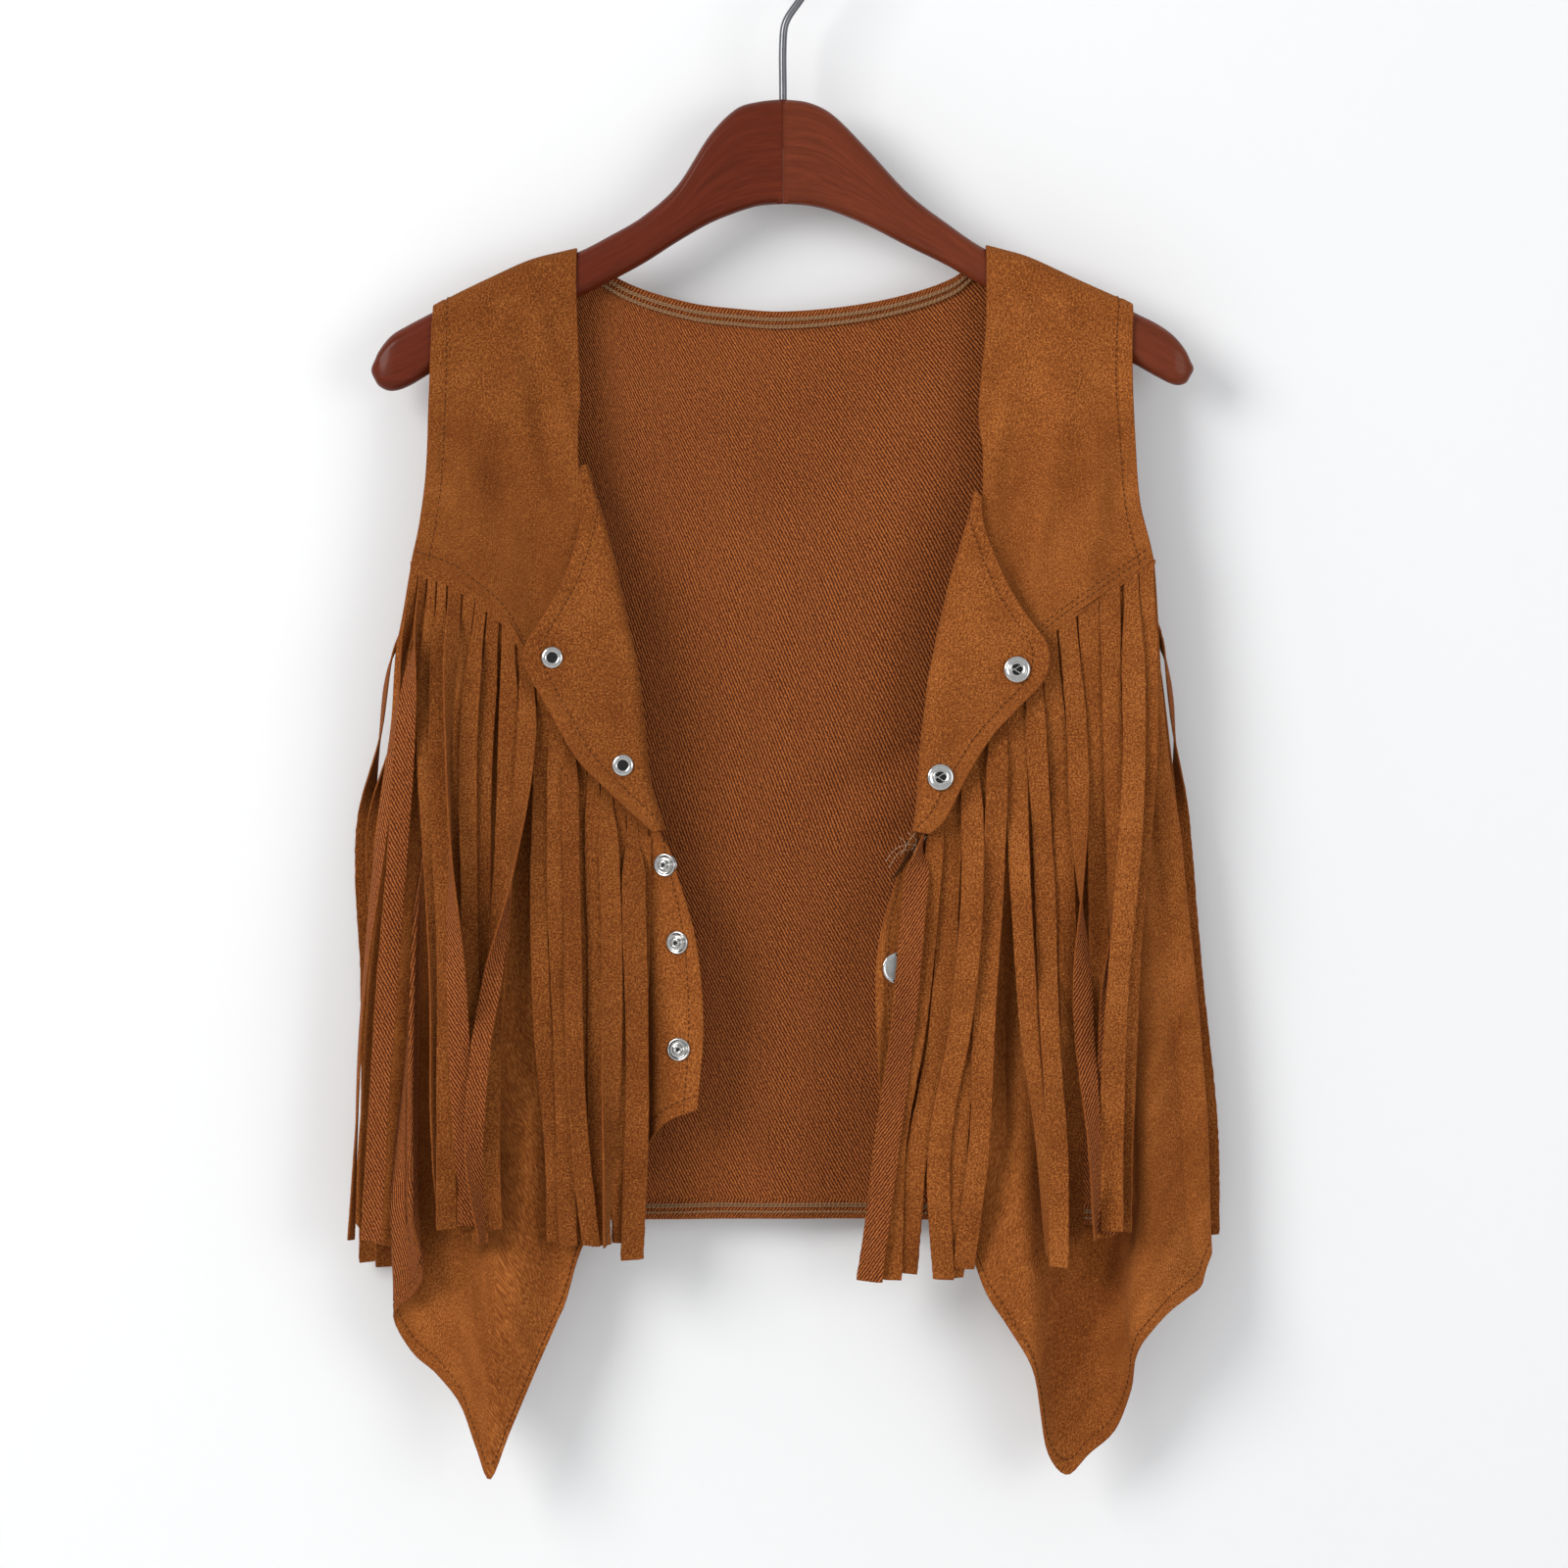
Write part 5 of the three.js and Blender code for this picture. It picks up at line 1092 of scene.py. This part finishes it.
def armhole_line(side, strip, index):
    seam = side["yoke_edge"]
    folded_in = yoke_edge_fore(side, seam["out"][-1]) - cloth - gap
    arm = back_armhole[side["sign"]]
    root_down = along(seam, "out", "down", strip["root"]) + 1
    beside, away = 6 * index, 3 + 5 * index
    rows = [
        [root_down, strip["root"], folded_in - 3.1, 0],
        [root_down + 22, strip["root"] + 4, folded_in - 5.5 - beside, 20],
        [root_down + 46, along(arm, "down", "out", root_down + 46) + 2.5 + beside, 0.5, 95],
        [400, along(arm, "down", "out", 400) + 3 + beside, -11, 95],
    ]
    lows = [
        (450, along(arm, "down", "out", 450) + 1 + beside),
        (520, mix(along(arm, "down", "out", 440) + beside, strip["path"], 0.5)),
        (590, strip["path"] - 1),
        (strip["end"], strip["path"]),
    ]
    rows += [[down, out, behind_back(side, out - beside, down, away), 12] for down, out in lows]
    rows = np.array([[float(value) for value in row] for row in rows])
    down = np.linspace(root_down, strip["end"], int((strip["end"] - root_down) / strip_step))
    t = (down - root_down) / (strip["end"] - root_down)
    out, fore, turn = curve(rows[:, 0], rows[:, 1:], down).T
    return {"down": down, "out": out, "fore": fore, "turn": np.radians(turn), "slant": np.zeros_like(down),
            "width": mix(3.2, strip["width"], ease((t - 0.06) / 0.1)), "sway": strip["root"] * 1.7}


for side_name, side in sides.items():
    facing = -side["sign"]
    seam = side["yoke_edge"]
    folded_in = yoke_edge_fore(side, seam["out"][-1]) - cloth - gap
    band_out = np.linspace(170, 180, 12)[None, :]
    band_drop = np.linspace(-3, 2.5, 5)[:, None]
    band = place(side, band_out, folded_in - 2.6, along(seam, "out", "down", band_out) + band_drop)
    parts = shell(band, strip_thickness, facing)
    area = 0
    for index, strip in enumerate(strip_rows(side["behind"])):
        line = armhole_line(side, strip, index)
        area += float(np.sum(line["width"])) * strip_step
        grid = strip_grid(side, line, cup=0.3)
        parts += shell(grid, strip_thickness, facing, start=(index * 40, 500), even=True)
    made = dress(f"fringe_armhole_{side_name}", "_cloth", parts, lit_and_shaded_suede[side_name, "strips"])
    grids[side_name].update(armhole_cloth=made, armhole_area=area + folded_end_area)
    print(side_name, "armhole strips:", len(side["behind"]["root"]))

# %% [markdown]
# ## Stitches and bands
# The rows of stitches are what makes it look sewn: beside each armhole, above the fringe, along
# the flaps and the hems, and two rows of a flat cover stitch on the band round the back neck.

# %% Stitch rows
seam_rows = {"left": [5.5], "right": [3.4, 6.4]}  # above the yoke's seam
seam_threads = []
for side_name, side in sides.items():
    facing = -side["sign"]
    yoke, panel, flap = (grids[side_name][name] for name in ("yoke", "panel", "flap"))
    rows = [(yoke, "last", 8)]
    rows += [(yoke, "bottom", inset) for inset in seam_rows[side_name]]
    rows += [(flap, "last", 8), (panel, "bottom", 7), (panel, "first", 7)]
    for grid, edge_name, inset in rows:
        seam_threads += stitches(*inset_line(grid, facing, edge_name, inset))
stitching = make_object("seam_stitches", seam_threads, [brown_thread])

# Loose thread ends where the right flap's tail meets the front's edge, and a close row below.
tail, tail_out = seat_on(grids["right"]["flap"], sides["right"], 66, 443)
low_seat, _ = seat_on(grids["right"]["panel"], sides["right"], 56, 466)
tuft_lines = [
    [(65.8, 446.0), (68.5, 448.5), (69.6, 452.3)],
    [(49.9, 461.4), (54.5, 455.5), (61, 453.0), (67.2, 454.2)],
    [(51.5, 464.5), (56, 457.5), (62, 455)],
    [(61, 447), (65, 451), (62.5, 456)],
    [(70, 449), (66, 453), (63.5, 457)],
    [(57, 449.5), (60, 453), (57.5, 458)],
    [(68, 444.5), (63, 449), (59.5, 455)],
]
tuft = []
for number, line in enumerate(tuft_lines):
    key = np.linspace(0, 1, len(line))
    x, down = curve(key, line, np.linspace(0, 1, 14)).T
    y = tail[1] - 1.0 - 0.4 * number - 1.2 * np.sin(np.linspace(0, 3.1, 14))
    points, quads, uv = tube(np.stack([x, y, -down], -1), 0.17, 5)
    tuft.append((points, quads, 0, uv))
row_line = np.linspace([66.5, tail[1] - 0.3, -450], [53.0, low_seat[1] - 0.4, -471], 12)
for aside in (-0.7, 0.7):
    close_row = stitches(row_line + [aside, 0, aside * 0.6], np.tile(tail_out, (12, 1)), 1.6, 2.0, 0.36, 0.4)
    tuft += [(points, quads, 1, uv) for points, quads, _, uv in close_row]
tuft_object = make_object("thread_ends", tuft, [pale_thread, brown_thread])
print("stitches:", len(seam_threads))

# %% Neck band and hem inside the back
def inner_band(top_inset, depth, stand):
    """A narrow strip of cloth that lies on the inside of the back along one of its edges."""
    edge_name = "top" if top_inset >= 0 else "bottom"
    first, outward = inset_line(inside_back, -1, edge_name, abs(top_inset))
    second, _ = inset_line(inside_back, -1, edge_name, abs(top_inset) + depth)
    rows = [mix(first, second, t) + outward * stand * math.sin(math.pi * (0.12 + 0.76 * t))
            for t in np.linspace(0, 1, 6)]
    grid = np.stack(rows if edge_name == "top" else rows[::-1])
    return grid, outward


neck_columns = np.abs(back[0, :, 0]) < 97
neck_grid, neck_out = inner_band(0.4, 7.2, 1.1)
neck_grid, neck_out = neck_grid[:, neck_columns], neck_out[neck_columns]
neck_band = make_object("neck_band", shell(neck_grid, 0.8, -1, (1, 1, 2)), cloth_sides)
braid = []
for share in (0.40, 0.52, 0.90, 1.02):
    line = mix(neck_grid[0], neck_grid[-1], share) + neck_out * 1.15
    braid += stitches(line, neck_out, pitch=2.2, length=2.8, radius=0.5, lift=0.35)
neck_stitches = make_object("neck_stitches", braid, [grey_thread])

hem_grid, hem_out = inner_band(-0.6, 9, 0.9)
hem_band = make_object("back_hem_band", shell(hem_grid, 0.7, -1, (1, 1, 2)), cloth_sides)
overlock = []
for share in (0.3, 0.42, 0.72):
    line = mix(hem_grid[0], hem_grid[-1], share) + hem_out * 0.9
    overlock += stitches(line, hem_out, pitch=2.2, length=2.7, radius=0.48, lift=0.35)
hem_stitches = make_object("back_hem_stitches", overlock, [grey_thread])
print("bands and their stitches made")

# %% [markdown]
# ## Snaps
# Four kinds of face show: an eyelet ring, a stud, a socket with a bent wire spring and a flat
# cap. Each is turned about the axis that stands on the cloth where it sits.

# %% Snap faces
snap_profiles = {
    "ring": [[2.5, 0], [4.9, 0], [5.2, 0.15], [5.25, 0.4], [5.0, 0.75], [4.4, 1.0], [3.7, 1.12], [3.0, 1.0],
             [2.65, 0.7], [2.5, 0.35], [2.5, 0]],
    "stud": [[0.01, 0], [5.4, 0], [5.7, 0.12], [5.7, 0.6], [5.4, 0.95], [5.0, 1.05], [4.6, 0.9], [4.2, 0.5],
             [3.7, 0.42], [3.2, 0.42], [2.6, 0.6], [2.3, 1.1], [2.15, 1.7], [2.3, 2.5], [2.45, 2.95],
             [2.25, 3.25], [1.8, 3.4], [1.2, 3.3], [0.9, 2.7], [0.01, 2.6]],
    "socket": [[0.01, 0], [6.2, 0], [6.5, 0.2], [6.5, 1.0], [6.3, 1.4], [5.8, 1.75], [5.2, 1.85], [4.6, 1.6],
               [4.1, 1.45], [3.5, 1.6], [3.1, 1.85], [2.8, 1.7], [2.65, 1.2], [2.6, 0.6], [0.01, 0.6]],
    "cap": [[0.01, 0], [4.8, 0], [6.0, 0.7], [7.5, 1.45], [7.65, 1.7], [7.4, 1.95], [6.9, 2.02], [6.5, 1.86],
            [6.2, 1.9], [4.4, 2.14], [2.0, 2.25], [0.01, 2.28]],
}


# the flat face inside each half, as rows of radius and height: its sides, which way it looks, its slot.
# Slot 1 is near-black painted shade in the hollow; slot 2 is darker steel on the cap's face as painted shade.
snap_faces = {
    "ring": ([[2.55, 0.3], [0.01, 0.3]], 32, -1, 1),
    "stud": ([[0.95, 2.75], [0.01, 2.75]], 24, -1, 1),
    "socket": ([[2.55, 0.64], [0.01, 0.64]], 32, -1, 1),
    "cap": ([[6.1, 1.96], [4.4, 2.18], [2.0, 2.29], [0.01, 2.32]], 40, 1, 2),
}


def set_on(points, seat, outward):
    across = np.cross([0, 0, 1], outward)
    across /= np.linalg.norm(across)
    return seat + points @ np.stack([across, np.cross(outward, across), outward])


def snap_half(name, kind, seat, outward):
    points, quads, uv = lathe(snap_profiles[kind], 56)
    parts = [(set_on(points, seat, outward), quads, 0, uv)]
    if kind == "socket":
        t = np.linspace(0, 1, 22)
        bend = np.stack([2.5 * np.cos(np.pi * t), 0.9 * np.sin(2 * np.pi * t), np.full(22, 1.25)], -1)
        for turn in (1, -1):
            spring = tube(bend * [1, turn, 1] + [0, 0.9 * turn, 0], 0.3, 8)
            parts.append((set_on(spring[0], seat, outward), spring[1], 0, spring[2]))
    profile, around, looks, slot = snap_faces[kind]
    points, quads, uv = lathe(profile, around)
    parts.append((set_on(points, seat, outward), quads[:, ::looks], slot, uv))
    return dress(name, "_steel", parts, [snap_steel, hollow_painted_shade, cap_steel])


snap_count = 0
for side_name, side in sides.items():
    shows, hides = ("ring", "stud") if side_name == "left" else ("socket", "cap")
    places = [(row, "flap", shows, hides, faced_cloth) for row in strip_rows(side["snaps_on_lapel"])]
    places += [(row, "panel", hides, shows, cloth + gap) for row in strip_rows(side["snaps_on_front"])]
    for number, (row, grid_name, front_kind, back_kind, wall) in enumerate(places, 1):
        seat, outward = seat_on(grids[side_name][grid_name], side, row["out"], row["down"])
        name = f"snap_{side_name}_{number}_"
        snap_half(name + front_kind, front_kind, seat + outward * gap, outward)
        snap_half(name + back_kind, back_kind, seat - outward * (wall + gap), -outward)
        snap_count += 2
print("snap faces:", snap_count)

# %% [markdown]
# ## The hanger
# Two carved arms meet at the middle, cut from different boards, so their grain doesn't match.
# A dark steel rod rises between them and bends into the hook.

# %% Hanger arms and hook
def arm_parts(side):
    wood = side["wood"]
    out = np.concatenate([[0.02], np.linspace(3, 184, 90), np.linspace(185, wood["out"][-1], 22)])
    top, bottom, half = (along(wood, "out", name, out)[:, None] for name in ("top", "bottom", "half"))
    radius = np.minimum(half, (bottom - top) / 2)
    angle = np.radians(np.concatenate([np.linspace(0, 180, 17), np.linspace(180, 360, 17)]))[None, :]
    upper = (np.arange(34) < 17)[None, :]
    centre = np.where(upper, top + radius, bottom - radius)
    section = place(side, np.broadcast_to(out[:, None], (len(out), 34)), np.cos(angle) * radius,
                    centre - np.sin(angle) * radius)
    middle = section.mean(1, keepdims=True)
    tip = [mix(section[-1:], middle[-1:], t) + [side["sign"] * 1.2 * math.sin(t * math.pi / 2), 0, 0]
           for t in (0.25, 0.6, 0.99)]
    root = mix(section[:1], middle[:1], 0.99)
    grid = np.concatenate([root, section[:1], section, *tip])
    around = np.concatenate([[0], np.cumsum(np.linalg.norm(np.diff(section[40], axis=0), axis=1))])
    length = np.concatenate([[0, 0], out, [out[-1]] * 3])
    uv = np.stack(np.broadcast_arrays(length[:, None], around[None, :]), -1)
    quads = grid_quads(*grid.shape[:2], closed=True)
    return [(grid.reshape(-1, 3), quads if side["sign"] > 0 else quads[:, ::-1], 0, uv.reshape(-1, 2))]


for side_name, side in sides.items():
    wood = [wood_of[side_name]]
    dress(f"hanger_arm_{side_name}", "_wood", arm_parts(side), wood)

loop_radius = hook_inner_radius + rod_radius
rise = [[0, -112], [0, -85], [0, -60], [1.5, -50], [9, -38.5]]
loop = [[loop_radius * math.cos(a), -hook_inner_radius + loop_radius * math.sin(a)]
        for a in np.radians([-35, 0, 35, 70, 90, 110, 145, 180, 205])]
route = np.array(rise + loop)
keys = np.concatenate([[0], np.cumsum(np.linalg.norm(np.diff(route, axis=0), axis=1))])
fine = curve(keys, route, np.linspace(0, keys[-1], 160))
rod_points = np.stack([fine[:, 0], np.zeros(len(fine)), fine[:, 1]], -1)
points, quads, uv = tube(rod_points, rod_radius, 20)
dress("hanger_hook", "_steel", [(points, quads, 0, uv)], [dark_steel])
print("hanger made")

# %% [markdown]
# ## What each piece was cut from
# Every piece of cloth was once flat. Its flat size is read off its grid along its middle rows.

# %% Flat sizes
def flat_size(grid):
    across = np.linalg.norm(np.diff(grid, axis=1), axis=2).sum(1)
    down = np.linalg.norm(np.diff(grid, axis=0), axis=2).sum(0)
    cells = np.cross(np.diff(grid, axis=1)[:-1], np.diff(grid, axis=0)[:, :-1])
    area = float(np.linalg.norm(cells, axis=2).sum()) * MM * MM
    return (float(across.max()) * MM, float(down.max()) * MM), area


def lay_out(made, flat, area):
    area = min(area, flat[0] * flat[1] * 0.999)
    print(made.name, "flat", [round(v, 3) for v in flat], "area", round(area, 4))


fringe_length = 0.345
armhole_strip_width, armhole_strip_length = 0.01, 0.36
lay_out(back_cloth, *flat_size(back))
for side_name in sides:
    have = grids[side_name]
    for piece in ("yoke", "flap", "panel"):
        lay_out(have[piece + "_cloth"], *flat_size(have[piece]))
    fringe_flat = (have["fringe_width"] * MM, fringe_length)
    lay_out(have["fringe_cloth"], fringe_flat, have["fringe_area"] * MM * MM)
    strip_count = len(sides[side_name]["behind"]["root"])
    armhole_flat = (armhole_strip_width * strip_count, armhole_strip_length)
    lay_out(have["armhole_cloth"], armhole_flat, have["armhole_area"] * MM * MM)

# %% [markdown]
# ## Camera and light
# A long lens looks straight at the vest from three metres. One big soft light stands up and to
# the left, a weaker one fills from the right, and a pale world keeps the shadows readable. The
# wall and the floor are only a backdrop.

# %% Camera, lights and surroundings
def area_light(name, location, target, size, power, colour=(1, 1, 1)):
    light = bpy.data.lights.new(name, "AREA")
    light.shape, light.size, light.energy, light.color = "DISK", size, power, colour
    made = bpy.data.objects.new(name, light)
    bpy.context.scene.collection.objects.link(made)
    made.location = location
    made.rotation_euler = (Vector(target) - Vector(location)).to_track_quat("-Z", "Y").to_euler()


vest_middle = (0, 0, -0.42)
area_light("key", (-1.7, -1.9, 0.5), vest_middle, 1.4, 44, (1.0, 0.99, 0.975))
area_light("fill", (1.9, -2.4, -0.3), vest_middle, 1.6, 19, (0.96, 0.98, 1.0))

world = bpy.data.worlds.new("pale_room")
world.use_nodes = True
background = world.node_tree.nodes["Background"]
background.inputs["Color"].default_value = (0.95, 0.97, 1.0, 1)
background.inputs["Strength"].default_value = 0.64
bpy.context.scene.world = world
bpy.context.scene.view_settings.view_transform = "Standard"


def stage_plane(name, corners, dark, light):
    """A plain wall or floor that only its front shows, so that a view from behind isn't shut out."""
    mesh = bpy.data.meshes.new(name)
    mesh.from_pydata(corners, [], [(0, 1, 2, 3)])
    made, tree, shader = nodes_of(name + "_paint")
    tone = add(tree, "ShaderNodeTexNoise", {"Scale": 2.0, "Detail": 2}).outputs["Fac"]
    tree.links.new(ramp(tree, tone, [(0.3, dark), (0.7, light)]), shader.inputs["Base Color"])
    tune(shader, 0.9)
    backs = add(tree, "ShaderNodeNewGeometry").outputs["Backfacing"]
    clear = add(tree, "ShaderNodeBsdfTransparent").outputs[0]
    one_sided = add(tree, "ShaderNodeMixShader", {0: backs, 1: shader.outputs[0], 2: clear}).outputs[0]
    tree.links.new(one_sided, tree.nodes["Material Output"].inputs["Surface"])
    mesh.materials.append(made)
    plane = bpy.data.objects.new(name, mesh)
    bpy.context.scene.collection.objects.link(plane)


wall_y, floor_z, reach = 0.032, -1.45, 2.6
stage_plane("wall", [(-reach, wall_y, floor_z), (reach, wall_y, floor_z), (reach, wall_y, 1.5),
                     (-reach, wall_y, 1.5)], (0.81, 0.81, 0.81), (0.83, 0.83, 0.83))
stage_plane("floor", [(-reach, -reach, floor_z), (reach, -reach, floor_z), (reach, wall_y, floor_z),
                      (-reach, wall_y, floor_z)], (0.66, 0.66, 0.65), (0.72, 0.72, 0.71))

camera_data = bpy.data.cameras.new("camera")
camera_data.lens, camera_data.sensor_width = 140.6, 36
camera = bpy.data.objects.new("camera", camera_data)
camera.location = (0.0005, -3.0, -0.4235)
camera.rotation_euler = (math.radians(90), 0, 0)
bpy.context.scene.collection.objects.link(camera)
bpy.context.scene.camera = camera
print("camera and lights placed")
